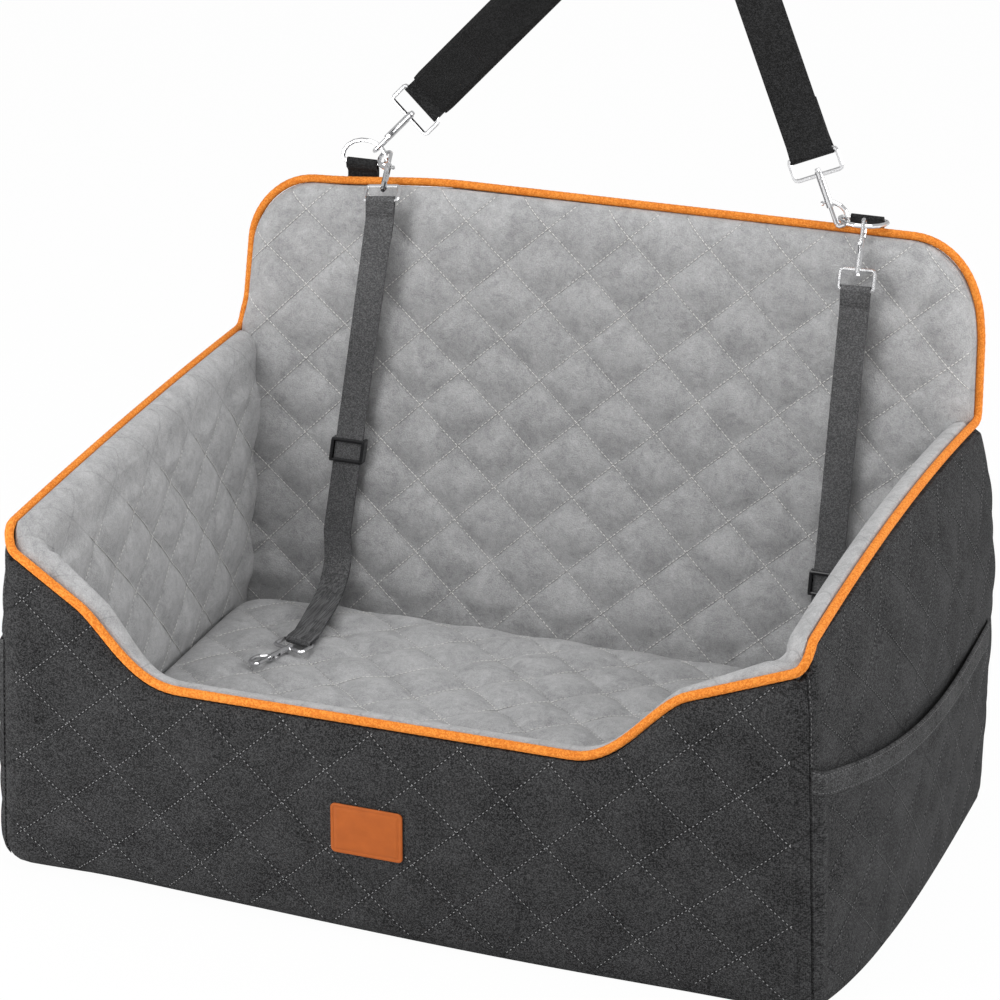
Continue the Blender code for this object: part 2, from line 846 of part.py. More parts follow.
# D-rings and tabs.
def ring_point(hand, lean, t_x, t_u):
    """Point of the D's own plane: t_x along the bar, t_u away from it."""
    away = Vector((0.0, -math.sin(lean), math.cos(lean)))
    return Vector((hand * ring_x + t_x, ring_bar_y, ring_bar_z)) + away * t_u


def ring_arc(degrees):
    """Curved side of the D at an angle from its right-hand end."""
    angle = math.radians(degrees)
    return (ring_half * math.cos(angle), ring_bend + (ring_height - ring_bend) * math.sin(angle))


def ring_path():
    path = []
    for degrees in (0, 45):
        angle = math.radians(degrees - 90)
        path.append((ring_half - ring_bend + ring_bend * math.cos(angle), ring_bend + ring_bend * math.sin(angle)))
    for i in range(10):
        path.append(ring_arc(180 * i / 9))
    for degrees in (45, 90):
        angle = math.radians(180 + degrees)
        path.append((-ring_half + ring_bend + ring_bend * math.cos(angle), ring_bend + ring_bend * math.sin(angle)))
    return path


def build_rings():
    for name, hand, lean in (("left", -1, 0.0), ("right", 1, right_ring_drop)):
        path = [ring_point(hand, lean, x, u) for x, u in ring_path()]
        across = Vector((0.0, math.cos(lean), math.sin(lean)))
        pivot = Vector((hand * ring_x, ring_bar_y, ring_bar_z))
        add_object(name + "_d_ring", tube("ring", path, ring_wire, 8, closed=True, side=across), CHROME, pivot)


def build_tabs():
    """Webbing folded round each ring's bar and sewn down the back of the backrest."""
    loop = ring_wire + gap + tab_thick * 0.5
    low, bend = 0.452, 0.466
    front_leg = [(y_back(low) + gap + tab_thick * 0.5, low), (y_back(bend) + 0.0014, bend),
                 (ring_bar_y + 0.0028, 0.472), (ring_bar_y + 0.0025, 0.4765),
                 (ring_bar_y + 0.0007, 0.4790), (ring_bar_y - 0.0019, 0.4808)]
    turn_part = []
    for degrees in range(200, -31, -46):
        angle = math.radians(degrees)
        turn_part.append((ring_bar_y + loop * math.cos(angle), ring_bar_z + loop * math.sin(angle)))
    space = tab_thick + gap
    rear_leg = [(ring_bar_y + 0.0045, 0.4800), (ring_bar_y + 0.0049, 0.4750), (ring_bar_y + 0.0047, 0.4700),
                (y_back(0.464) + 0.0034, 0.4640), (y_back(low) + gap + tab_thick * 0.5 + space, low)]
    outline = front_leg + turn_part + rear_leg
    for name, hand in (("left", -1), ("right", 1)):
        path = [Vector((hand * tab_x, y, z)) for y, z in outline]
        mesh = ribbon("tab", path, Vector((1, 0, 0)), tab_thick, tab_width)
        add_object(name + "_ring_tab", mesh, BLACK_WEB)


# Swivel bolt snap, drawn in millimetres with its axis on Z and the jaw towards +X.
def make_snap(scale, wide):
    k = MM * scale

    def rod(radius, low, high, count=12, x=0.0, y=0.0):
        up = Vector((0, 0, 1))
        centre = Vector((x, y, 0))
        rings = [circle_ring(centre + up * z, Vector((1, 0, 0)), Vector((0, 1, 0)), radius, count)
                 for z in (low, high)]
        return loft("rod", rings)

    def block(x0, x1, y0, y1, z0, z1):
        rings = [[Vector((x, y, z)) for x, y in ((x0, y0), (x1, y0), (x1, y1), (x0, y1))] for z in (z0, z1)]
        return loft("block", rings)

    length = barrel_length * k
    throat = throat_length * k
    reach = jaw_reach * k
    wire = jaw_wire * k
    jaw_path = [(0.16 * reach, -0.30), (0.42 * reach, -0.16), (0.80 * reach, 0.10), (reach, 0.40),
                (reach, 0.75), (0.84 * reach, 1.02), (0.54 * reach, 1.15), (0.18 * reach, 1.15),
                (0.0, 1.02)]
    path = [Vector((x, 0.0, length + throat * t)) for x, t in jaw_path]
    jaw = tube("jaw", path, wire, 8, side=Vector((0, 1, 0)))
    barrel = rod(barrel_radius * k, 0.0, length)
    stem = rod(stem_radius * k, -(stem_length + 0.0006) * k, 0.5, 8)
    head = rod(2.1 * scale, -(stem_length + 0.0022) * k, -(stem_length + 0.0004) * k, 8)
    bore = rod(bore_radius * k, 3.0 * scale, length + 1.0)
    knob_z = (barrel_length - 0.0045) * k
    slot = block(-barrel_radius * k - 3.0, 0.0, -1.3 * scale, 1.3 * scale,
                 knob_z - (bolt_travel + 0.0018) * k, knob_z + 1.7 * scale)
    nose_room = rod((bolt_radius + 0.0002) * k, length, length + throat + 0.10, 12)
    body = merge([barrel, jaw, stem, head], [bore, slot, nose_room])
    low_end = 3.0 * scale + (bolt_travel + 0.0006) * k
    bolt_rod = rod(bolt_radius * k, low_end, length + throat - 0.25)
    thumb = loft("thumb", [circle_ring(Vector((x, 0, knob_z)), Vector((0, 1, 0)), Vector((0, 0, 1)), r * scale, 8)
                           for x, r in ((-0.4, 1.0), (-barrel_radius * k - 1.6, 1.0),
                                        (-barrel_radius * k - 1.7, 2.0), (-barrel_radius * k - 3.2, 1.7))])
    bolt = merge([bolt_rod, thumb])
    half = (wide + eye_wire) * k if scale == 1.0 else (wide + eye_wire * scale) * MM
    near = -stem_length * 0.5 * k - 0.1
    far = near - eye_length * k
    round_part = 2.6 * scale
    corners = ((half, near, -90, 0), (half, far, 0, 0))
    loop = []
    for sx, sz, start in ((1, near, 90), (1, far, 0), (-1, far, -90), (-1, near, -180)):
        cx = sx * (half - round_part)
        cz = sz + (round_part if sz == far else -round_part)
        for i in range(3):
            angle = math.radians(start - 45 * i)
            loop.append(Vector((cx + round_part * math.cos(angle), 0.0, cz + round_part * math.sin(angle))))
    loop.append(Vector((-4.2 * scale, 0.0, near)))
    loop.append(Vector((4.2 * scale, 0.0, near)))
    frame_part = tube("eye", loop, eye_wire * k, 6, closed=True, side=Vector((0, 1, 0)))
    boss = rod(2.9 * scale, -stem_length * k + 0.25, -0.3, 12)
    hole = rod((stem_radius + 0.0003) * k, -stem_length * k - 2.0, 2.0, 8)
    eye = merge([frame_part, boss], [hole])
    far_bar = Vector((0.0, 0.0, far)) / MM
    seat_z = (length + throat * 1.15 - wire) / MM - seat_clear * scale - ring_wire
    knob_axis = knob_z / MM
    return body, bolt, eye, far_bar, seat_z, knob_axis


def frame_of(origin, axis, lateral):
    """Matrix with local Z on the axis and local X as near as possible to lateral."""
    z = axis.normalized()
    x = (lateral - z * lateral.dot(z)).normalized()
    y = z.cross(x)
    turned = Matrix((x, y, z)).transposed().to_4x4()
    return Matrix.Translation(origin) @ turned


def place_mesh(name, mesh, look, matrix, origin):
    made = mesh.copy()
    made.transform(Matrix.Scale(1.0 / MM, 4))
    made.transform(matrix)
    return add_object(name, made, look, origin)


def place_snap(prefix, snap, matrix, eye_lateral, far_origin):
    """Body, bolt and eye of one snap; the eye may be turned about the axis."""
    body, bolt, eye, far_bar, seat_z, knob_axis = snap
    axis = matrix.to_3x3() @ Vector((0, 0, 1))
    origin = matrix.translation.copy()
    eye_matrix = frame_of(origin, axis, eye_lateral)
    place_mesh(prefix + "_hook", body, CHROME, matrix, origin)
    place_mesh(prefix + "_bolt", bolt, CHROME, matrix, origin)
    place_mesh(prefix + "_eye", eye, CHROME, eye_matrix, eye_matrix @ far_bar if far_origin else origin)
    return eye_matrix @ far_bar, (eye_matrix.to_3x3() @ Vector((1, 0, 0))), axis


def snap_at_contact(contact, axis, lateral, snap):
    """Matrix that seats the jaw's crown on a wire at the contact point.

    axis runs from the eye to the jaw."""
    seat_z = snap[4]
    z = axis.normalized()
    x = (lateral - z * lateral.dot(z)).normalized()
    origin = contact - x * ring_offset - z * seat_z
    return frame_of(origin, z, x)


def blend_vectors(first, second, share):
    return (first * (1 - share) + second * share).normalized()


def smooth_path(points, steps):
    """Catmull-Rom points through a hand-set route."""
    out = []
    for i in range(len(points) - 1):
        p0 = points[max(i - 1, 0)]
        p1, p2 = points[i], points[i + 1]
        p3 = points[min(i + 2, len(points) - 1)]
        for s in range(steps):
            t = s / steps
            out.append(0.5 * ((2 * p1) + (p2 - p0) * t + (2 * p0 - 5 * p1 + 4 * p2 - p3) * t * t
                              + (3 * p1 - p0 - 3 * p2 + p3) * t ** 3))
    out.append(points[-1])
    return out


def tether_path(top, bottom, hang_x):
    """Front layer of a tether: straight down the backrest, then forward over the cushion."""
    straight_top = Vector((top.x, top.y - 0.0012, top.z - 0.016))
    rest_y = backrest_face(0.160)
    straight_end = Vector((hang_x, rest_y - 0.0098, 0.160))
    bend = [straight_end, Vector((hang_x + 0.10 * (bottom.x - hang_x), rest_y - 0.0133, 0.1420)),
            Vector((hang_x + 0.22 * (bottom.x - hang_x), rest_y - 0.0243, 0.1290)),
            Vector((hang_x + 0.50 * (bottom.x - hang_x), rest_y - 0.0593, 0.1190)),
            Vector((hang_x + 0.85 * (bottom.x - hang_x), rest_y - 0.1143, 0.1160)),
            Vector((bottom.x, bottom.y + 0.014, bottom.z + 0.0022))]
    curve = smooth_path(bend, 3)
    upper = [straight_top.lerp(straight_end, i / 3) for i in range(3)]
    return upper + curve


def offset_path(path, amount):
    """Copy of a path moved square to itself in the depth and height plane."""
    moved = []
    last = len(path) - 1
    for i, point in enumerate(path):
        along = path[min(i + 1, last)] - path[max(i - 1, 0)]
        flat = Vector((0.0, along.y, along.z)).normalized()
        normal = Vector((0.0, -flat.z, flat.y))
        moved.append(point + normal * amount)
    return moved


def arc_about(centre, bar, start, sweep, radius, steps):
    """Points on a circle round a bar; start is a unit vector square to the bar."""
    side = bar.cross(start).normalized()
    return [centre + (start * math.cos(sweep * i / steps) + side * math.sin(sweep * i / steps)) * radius
            for i in range(steps + 1)]


def build_tether(name, snap, upper_matrix, hang_x, lower_bar, lower_axis, slider_z):
    upper_far, upper_bar, upper_axis = place_snap(name + "_upper", snap, upper_matrix, Vector((1, 0, 0)), False)
    if upper_bar.x < 0:
        upper_bar = -upper_bar
    lower_matrix = frame_of(lower_bar - lower_axis.normalized() * snap[3].z, lower_axis, Vector((-1, 0, 0)))
    place_snap(name + "_lower", snap, lower_matrix, Vector((1, 0, 0)), True)
    flat_bar = Vector((1, 0, 0)) - lower_axis.normalized() * lower_axis.normalized().x
    flat_bar.normalize()

    front = tether_path(upper_far, lower_bar, hang_x)
    spacing = tether_thick + layer_gap
    behind = offset_path(front, spacing)
    wrap = eye_wire + 2 * gap + tether_thick * 0.5
    down = (front[0] - upper_far).normalized()
    out = upper_bar.cross(down).normalized()
    if out.y > 0:
        out = -out
    top_turn = arc_about(upper_far, upper_bar, -out, math.pi, wrap, 5)
    if (top_turn[2] - upper_far).dot(down) > 0:
        top_turn = arc_about(upper_far, -upper_bar, -out, math.pi, wrap, 5)
    back_out = (behind[-1] - lower_bar).normalized()
    up = Vector((0, 0, 1))
    up = (up - flat_bar * up.dot(flat_bar)).normalized()
    low_turn = arc_about(lower_bar, flat_bar, up, math.pi, wrap, 4)
    if (low_turn[2] - lower_bar).dot(lower_axis) < 0:
        low_turn = arc_about(lower_bar, -flat_bar, up, math.pi, wrap, 4)
    straight = (front[3] - front[0]).normalized()
    tether_runs[name] = -straight
    lower_axes[name] = lower_axis
    tail_start = front[0] + straight * (fold_length - 0.016)
    tail = [p + (behind[0] - front[0]) for p in (tail_start, front[0] + straight * 0.004)]
    share = (front[0].z - (slider_z + 0.022)) / (front[0].z - front[3].z)
    back_end = front[0].lerp(front[3], share) + (behind[0] - front[0])
    lower_back = [p for p in behind[3:]][::-1] + [back_end]
    path = tail + top_turn + front + low_turn + lower_back
    widths = []
    for point in path:
        if point.z > front[0].z - 0.004:
            widths.append(upper_bar)
        elif point.z > 0.15:
            share = min((front[0].z - point.z) / 0.06, 1.0)
            widths.append(blend_vectors(upper_bar, Vector((1, 0, 0)), share))
        else:
            share = min(max((0.190 - point.y) / (0.190 - lower_bar.y - 0.02), 0.0), 1.0)
            widths.append(blend_vectors(Vector((1, 0, 0)), flat_bar, share))
    add_object(name + "_webbing", ribbon("webbing", path, widths, tether_thick, tether_width), GREY_WEB, upper_far)
    build_slider(name, front[0], front[3], spacing, slider_z)


def build_slider(name, top, bottom, spacing, slider_z):
    """Three-bar slider; the webbing runs between the front bars and the rear bar."""
    along = (top - bottom).normalized()
    centre = bottom + along * ((slider_z - bottom.z) / along.z)
    forward = Vector((0, along.z, -along.y)).normalized() * -1
    k = MM
    front_n = (tether_thick * 0.5 + gap + slider_bar) * k
    rear_n = -(spacing + tether_thick * 0.5 + gap + slider_bar) * k
    reach = (tether_width * 0.5 + gap + 0.0024) * k
    half_length = (slider_length * 0.5 - slider_bar) * k

    def bar(n, s, radius):
        rings = [circle_ring(Vector((x, n, s)), Vector((0, 1, 0)), Vector((0, 0, 1)), radius, 8)
                 for x in (-reach, reach)]
        return loft("bar", rings)

    def rail(hand):
        inner = (tether_width * 0.5 + 2 * gap) * k
        rings = []
        for x, bevel in ((inner, 0.0), (inner + 2.0, 0.0), (inner + 2.7, 0.7)):
            low, high = rear_n - 1.6 + bevel, front_n + 1.6 - bevel
            end = half_length + 1.6 - bevel
            rings.append([Vector((hand * x, low + 1.2, -end)), Vector((hand * x, high - 1.2, -end)),
                          Vector((hand * x, high, -end + 1.2)), Vector((hand * x, high, end - 1.2)),
                          Vector((hand * x, high - 1.2, end)), Vector((hand * x, low + 1.2, end)),
                          Vector((hand * x, low, end - 4.0)), Vector((hand * x, low, -end + 4.0))])
        return loft("rail", rings)

    parts = [rail(-1), rail(1), bar(front_n, half_length, 1.6), bar(front_n, -half_length, 1.6),
             bar(rear_n, 0.0, 1.6)]
    mesh = merge(parts)
    mesh.transform(Matrix.Scale(1.0 / MM, 4))
    turned = Matrix((Vector((-1, 0, 0)), forward, along)).transposed().to_4x4()
    mesh.transform(Matrix.Translation(centre) @ turned)
    add_object(name + "_slider", mesh, BLACK_PLASTIC, centre)


def strap_line(start, end):
    """Carrying strap's centre line and width directions from eye bar to eye bar."""
    along_l, along_r = left_run, right_run
    cross = along_l.x * along_r.z - along_l.z * along_r.x
    delta = end - start
    left_length = (delta.x * along_r.z - delta.z * along_r.x) / cross
    right_length = (delta.x * along_l.z - delta.z * along_l.x) / cross
    corner = start + along_l * left_length
    bend = along_l.angle(-along_r)
    tangent = apex_radius * math.tan(bend * 0.5)
    first = corner - along_l * tangent
    normal = Vector((along_l.z, 0, -along_l.x))
    centre = first + normal * apex_radius
    points, widths = [], []
    flat_l = Vector((-along_l.z, 0, along_l.x))
    flat_r = Vector((along_r.z, 0, -along_r.x))
    depth = Vector((0, 1, 0))
    for i in range(6):
        share = i / 5
        points.append(first - along_l * (twist_length * (1 - share)))
        angle = math.pi * 0.5 * (3 * share ** 2 - 2 * share ** 3)
        widths.append(flat_l * math.cos(angle) + depth * math.sin(angle))
    for i in range(1, 6):
        angle = bend * i / 6
        spoke = -normal * math.cos(angle) + along_l * math.sin(angle)
        points.append(centre + spoke * apex_radius)
        widths.append(depth)
    last = corner - along_r * tangent
    for i in range(6):
        share = i / 5
        points.append(last - along_r * (twist_length * share))
        angle = math.pi * 0.5 * (1 - (3 * share ** 2 - 2 * share ** 3))
        widths.append(flat_r * math.cos(angle) + depth * math.sin(angle))
    return points, widths, flat_l, flat_r


def build_carry(snap, left_matrix, right_matrix):
    flat_l = Vector((-left_run.z, 0, left_run.x))
    flat_r = Vector((right_run.z, 0, -right_run.x))
    left_far, left_bar, left_axis = place_snap("carry_left", snap, left_matrix, flat_l, False)
    right_far, right_bar, right_axis = place_snap("carry_right", snap, right_matrix, flat_r, False)
    middle_y = (left_far.y + right_far.y) * 0.5
    points, widths, flat_l, flat_r = strap_line(left_far, Vector((right_far.x, left_far.y, right_far.z)))
    shift = right_far.y - left_far.y
    total = right_far.x - left_far.x
    points = [p + Vector((0, shift * (p.x - left_far.x) / total, 0)) for p in points]
    wrap = eye_wire * carry_scale + gap + carry_thick * 0.5
    spacing = carry_thick + layer_gap
    depth = Vector((0, 1, 0))

    def end_part(far, run, flat):
        """Fold round an eye bar: rear tail, turn round the bar, front layer."""
        front = far - depth * (spacing * 0.5)
        rear = far + depth * (spacing * 0.5)
        tail = [rear + run * carry_fold, rear + run * 0.012]
        turn_points = []
        for i in range(5):
            angle = math.pi * i / 4
            turn_points.append(far + (depth * math.cos(angle) - run * math.sin(angle)) * wrap)
        return tail + turn_points + [front + run * 0.012, front + run * carry_fold], flat

    left_part, flat = end_part(left_far, left_run, flat_l)
    right_part, flat = end_part(right_far, right_run, flat_r)
    front_shift = -depth * (spacing * 0.5)
    path = left_part + [p + front_shift for p in points] + right_part[::-1]
    all_widths = [flat_l] * len(left_part) + widths + [flat_r] * len(right_part)
    pivot = Vector((0, ring_bar_y, ring_bar_z))
    add_object("carry_webbing", ribbon("carry", path, all_widths, carry_thick, carry_width), BLACK_WEB, pivot)

    def section(centre, width, thick, bevel):
        ring = []
        for sx, sy in ((1, 1), (-1, 1), (-1, -1), (1, -1)):
            for first in ((0, 1) if sx * sy > 0 else (1, 0)):
                x = sx * (width * 0.5 - (bevel if first else 0.0))
                y = sy * (thick * 0.5 - (0.0 if first else bevel))
                ring.append(centre + flat_l * x + depth * y)
        return ring

    direction = (left_run + Vector((0, shift / total * left_run.x, 0))).normalized()
    outer_rings, inner_rings = [], []
    for share in (0.0, 0.04, 0.5, 0.96, 1.0):
        centre = left_far + direction * (pad_start + pad_length * share)
        end = share in (0.0, 1.0)
        outer_rings.append(section(centre, pad_width - (0.001 if end else 0.0), pad_thick - (0.004 if end else 0.0),
                                   0.003 if end else 0.0042))
    for share in (0.0, 1.0):
        centre = left_far + direction * (pad_start + pad_length * share)
        inner_rings.append(section(centre, carry_width + 0.0010, 2 * carry_thick + layer_gap + 0.0012, 0.0006))
    rings = outer_rings + inner_rings[::-1]
    add_object("shoulder_pad", loft("pad", rings, closed=True), PAD, left_far + direction * pad_start)


def build_straps():
    small = make_snap(1.0, eye_inner_half)
    large = make_snap(carry_scale, carry_inner_half)

    # Carrying strap: its left snap sits on the upright ring's shoulder,
    # its right snap on the dropped ring's inner leg, close to the bar line.
    x, u = ring_arc(48)
    left_contact = ring_point(-1, 0.0, x, u)
    axis = -left_run
    left_matrix = snap_at_contact(left_contact, axis, Vector((0, 1, 0)), large)
    x, u = ring_arc(165)
    right_contact = ring_point(1, right_ring_drop, x, u)
    right_matrix = snap_at_contact(right_contact, -right_run, Vector((1, 0, 0.4)), large)
    build_carry(large, left_matrix, right_matrix)

    # Left tether: on the leg of the upright ring, over the soft rim.
    x, u = ring_arc(12)
    contact = ring_point(-1, 0.0, x, u)
    matrix = snap_at_contact(contact, -left_pull, Vector((-0.96, -0.01, -0.25)), small)
    rest_y = backrest_face(0.160)
    end = Vector((-ring_x + end_shift_left, rest_y - end_reach_left, end_height))
    build_tether("left_tether", small, matrix, -ring_x + hang_shift_left, end, Vector((-0.27, -0.95, -0.05)),
                 left_slider_z)

    # Right tether: on the front of the dropped ring.
    contact = ring_point(1, right_ring_drop, 0.004, ring_height)
    matrix = snap_at_contact(contact, -right_pull, Vector((0.0, 0.94, -0.342)), small)
    end = Vector((ring_x - end_shift_right, rest_y - end_reach_right, end_height))
    build_tether("right_tether", small, matrix, ring_x + hang_shift_right, end, Vector((0.20, -0.97, -0.05)),
                 right_slider_z)


build_base()
build_walls()
build_backrest()
build_piping()
build_cushion()
build_pockets()
build_label()
build_rings()
build_tabs()
build_straps()
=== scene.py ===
import math

import bpy
import bmesh
from mathutils import Matrix, Vector, noise
from mathutils.bvhtree import BVHTree


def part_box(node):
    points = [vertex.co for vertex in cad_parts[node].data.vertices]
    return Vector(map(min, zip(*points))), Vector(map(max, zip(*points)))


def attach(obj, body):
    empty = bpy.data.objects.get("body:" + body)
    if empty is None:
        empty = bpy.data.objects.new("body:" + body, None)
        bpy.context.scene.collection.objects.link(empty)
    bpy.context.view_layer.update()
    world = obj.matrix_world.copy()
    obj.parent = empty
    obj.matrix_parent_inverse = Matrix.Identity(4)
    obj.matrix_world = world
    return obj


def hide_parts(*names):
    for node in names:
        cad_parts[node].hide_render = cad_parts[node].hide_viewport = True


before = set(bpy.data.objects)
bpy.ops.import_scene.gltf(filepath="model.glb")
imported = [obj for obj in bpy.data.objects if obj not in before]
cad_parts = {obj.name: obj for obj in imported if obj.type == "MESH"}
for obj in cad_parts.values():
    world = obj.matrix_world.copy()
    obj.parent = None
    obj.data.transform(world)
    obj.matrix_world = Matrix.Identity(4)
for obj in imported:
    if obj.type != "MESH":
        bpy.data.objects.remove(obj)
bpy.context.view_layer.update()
scene = bpy.context.scene


# Studio. A plain pale floor without a horizon, four soft lamps and a pale world, and
# the camera in front of the seat, to its right and above it, as it was photographed.
# Lengths are in metres, here and in every section below.
CAMERA_PLACE = Vector((0.8262, -2.5473, 1.2063))
CAMERA_TURN = math.radians(18.042)
CAMERA_DIP = math.radians(18.97)
CAMERA_ROLL = math.radians(2.013)

looking = Vector((-math.sin(CAMERA_TURN) * math.cos(CAMERA_DIP),
                  math.cos(CAMERA_TURN) * math.cos(CAMERA_DIP), -math.sin(CAMERA_DIP)))
level_right = Vector((math.cos(CAMERA_TURN), math.sin(CAMERA_TURN), 0.0))
level_up = level_right.cross(looking)
right = level_right * math.cos(CAMERA_ROLL) + level_up * math.sin(CAMERA_ROLL)
up = level_up * math.cos(CAMERA_ROLL) - level_right * math.sin(CAMERA_ROLL)
lens = bpy.data.cameras.new("camera")
lens.lens = 125.6
lens.sensor_width = 36.0
lens.sensor_fit = 'HORIZONTAL'
lens.clip_start = 0.05
camera = bpy.data.objects.new("camera", lens)
camera_axes = Matrix((right, up, -looking)).transposed()
camera.matrix_world = Matrix.Translation(CAMERA_PLACE) @ camera_axes.to_4x4()
scene.collection.objects.link(camera)
scene.camera = camera
scene.view_settings.view_transform = 'Standard'


def add_node(tree, kind, inputs=None, **settings):
    """Add a node, set its properties, and fill or link its inputs by name or number."""
    made = tree.nodes.new(kind)
    for key, value in settings.items():
        setattr(made, key, value)
    for key, value in (inputs or {}).items():
        if isinstance(value, bpy.types.NodeSocket):
            tree.links.new(value, made.inputs[key])
        else:
            made.inputs[key].default_value = value
    return made


def compute(tree, operation, *values):
    """What a Math node makes of numbers or sockets."""
    return add_node(tree, "ShaderNodeMath", dict(enumerate(values)), operation=operation).outputs[0]


def rescale(tree, value, from_min=0.0, from_max=1.0, to_min=0.0, to_max=1.0, **settings):
    """A value moved from one range to another and held inside it."""
    spans = {"Value": value, "From Min": from_min, "From Max": from_max, "To Min": to_min, "To Max": to_max}
    return add_node(tree, "ShaderNodeMapRange", spans, **settings).outputs[0]


def speckle(tree, where, scale, detail=2.0, **more):
    """Noise from 0 to 1 at a scale, with the node's other inputs by name."""
    inputs = {"Vector": where, "Scale": scale, "Detail": detail, **more}
    return add_node(tree, "ShaderNodeTexNoise", inputs).outputs["Fac"]


def tint(tree, shader, share, dark, light):
    """Colour a material between a dark and a light tone."""
    tones = add_node(tree, "ShaderNodeMix", {0: share, 6: (*dark, 1), 7: (*light, 1)}, data_type='RGBA')
    tree.links.new(tones.outputs[2], shader.inputs["Base Color"])
    return tones.outputs[2]


def emboss(tree, shader, height, strength, distance):
    """Give a material small bumps from a height."""
    bumps = add_node(tree, "ShaderNodeBump", {"Height": height, "Strength": strength, "Distance": distance})
    tree.links.new(bumps.outputs[0], shader.inputs["Normal"])


def new_material(name, roughness=None, specular=None):
    """A material, its node tree and its shader."""
    made = bpy.data.materials.new(name)
    made.use_nodes = True
    tree = made.node_tree
    shader = tree.nodes["Principled BSDF"]
    if roughness is not None:
        shader.inputs["Roughness"].default_value = roughness
    if specular is not None:
        shader.inputs["Specular IOR Level"].default_value = specular
    return made, tree, shader


def object_point(tree):
    """Where a point lies on its object, for patterns that need no UV map."""
    return add_node(tree, "ShaderNodeTexCoord").outputs["Object"]


def seen_as_white(tree, lit, share):
    """Mix a lit shader with plain white wherever the camera looks."""
    path = add_node(tree, "ShaderNodeLightPath")
    part = compute(tree, 'MULTIPLY', path.outputs["Is Camera Ray"], share)
    white = add_node(tree, "ShaderNodeEmission", {"Color": (1, 1, 1, 1), "Strength": 1.0})
    return add_node(tree, "ShaderNodeMixShader", {0: part, 1: lit, 2: white.outputs[0]})


floor_mesh = bpy.data.meshes.new("studio_floor")
floor_mesh.from_pydata([(-12, -12, 0), (12, -12, 0), (12, 12, 0), (-12, 12, 0)], [], [(0, 1, 2, 3)])
studio_floor = bpy.data.objects.new("studio_floor", floor_mesh)
scene.collection.objects.link(studio_floor)
floor_look, tree, shader = new_material("studio_floor", roughness=0.9)
shader.inputs["Base Color"].default_value = (0.86, 0.86, 0.86, 1)
mixed = seen_as_white(tree, shader.outputs[0], 0.97)
tree.links.new(mixed.outputs[0], tree.nodes["Material Output"].inputs["Surface"])
floor_mesh.materials.append(floor_look)

world = bpy.data.worlds.new("studio")
scene.world = world
world.use_nodes = True
tree = world.node_tree
sky = tree.nodes["Background"]
sky.inputs["Color"].default_value = (1.0, 1.0, 1.0, 1)
path = add_node(tree, "ShaderNodeLightPath")
level = rescale(tree, path.outputs["Is Camera Ray"], to_min=0.55)
tree.links.new(level, sky.inputs["Strength"])

for name, place, aim, size, power in (("key_lamp", (-1.05, -1.9, 1.65), (-0.05, 0, 0.2), 1.2, 27),
                                      ("low_lamp", (-0.78, -0.86, 0.07), (-0.25, -0.25, 0.12), 0.3, 3),
                                      ("fill_lamp", (2.4, 0.2, 1.5), (-0.1, 0, 0.15), 1.4, 36),
                                      ("top_lamp", (0.1, -0.9, 2.9), (0, 0.1, 0.2), 1.6, 21)):
    lamp = bpy.data.lights.new(name, 'AREA')
    lamp.energy = power
    lamp.shape = 'SQUARE'
    lamp.size = size
    stand = bpy.data.objects.new(name, lamp)
    aim_at = (Vector(aim) - Vector(place)).to_track_quat('-Z', 'Y')
    stand.matrix_world = Matrix.Translation(place) @ aim_at.to_matrix().to_4x4()
    scene.collection.objects.link(stand)


# Outer cloth. Charcoal heathered weave over thin wadding, quilted in diamonds with a
# grey thread. It wraps the front, the sides and the back of the box.
HALF_DEPTH = 0.2355
FRONT_LEAN = 0.0946
BACK_LEAN = 0.055
SIDE_HALF = 0.343
SIDE_SPLAY = 0.0382
SIDE_LEAN = 0.048
WALL_FRONT_TOP = 0.303
WALL_BACK_TOP = 0.328
CROWN = {-1: 0.004, 1: 0.012}
ENTRY_TOP = 0.1875
ENTRY_END_Z = 0.2825
ENTRY_SHAPES = {-1: (0.172, 0.256, 0.68), 1: (0.140, 0.228, 0.40)}
BACK_TOP = 0.477
BACK_CORNER = 0.065
WALL_FOOT_THICK = 0.041
WALL_TAPER = 0.048
BACK_FOOT_THICK = 0.036
BACK_TAPER = 0.0377
SIDE_GAP = 0.0003
COVER_THICK = 0.004
FRONT_CORNER = 0.013
INNER_CORNER = 0.010
LINING_THICK = 0.0085
PIPING_RADIUS = 0.0036
PIPING_DROP = 0.003
UNDER_PIPING = PIPING_DROP + PIPING_RADIUS + 0.0007
SIDE_BULGE = 0.028
FRONT_BOW = 0.011
BOW_CENTRE = 0.030
BOW_HALF = 0.290
CORNER_SWELL = 0.0045
FRONT_STRAIGHT = 0.2
SIDE_RUN = 0.415
DIAMOND = (0.0357, 0.0340)
FRONT_KNOT = (-0.1239, 0.1418)
COVER_PUFF = 0.0024
SIDES = (("left", -1), ("right", 1))


def y_front(z):
    return -(HALF_DEPTH + FRONT_LEAN * z)


def y_back(z):
    return HALF_DEPTH + BACK_LEAN * z


def x_side(y, z):
    return SIDE_HALF + SIDE_SPLAY * y - SIDE_LEAN * z


def wall_thick(z):
    return WALL_FOOT_THICK - WALL_TAPER * z


def back_thick(z):
    return BACK_FOOT_THICK - BACK_TAPER * z


def ease(value, low, high):
    """Share from 0 to 1 between two values, with a soft start and end."""
    share = min(max((value - low) / (high - low), 0.0), 1.0)
    return share * share * (3 - 2 * share)


slope = math.sqrt(1.0 + SIDE_SPLAY ** 2)
entry_end = x_side(y_front(ENTRY_END_Z) + FRONT_CORNER, ENTRY_END_Z) - FRONT_CORNER * slope


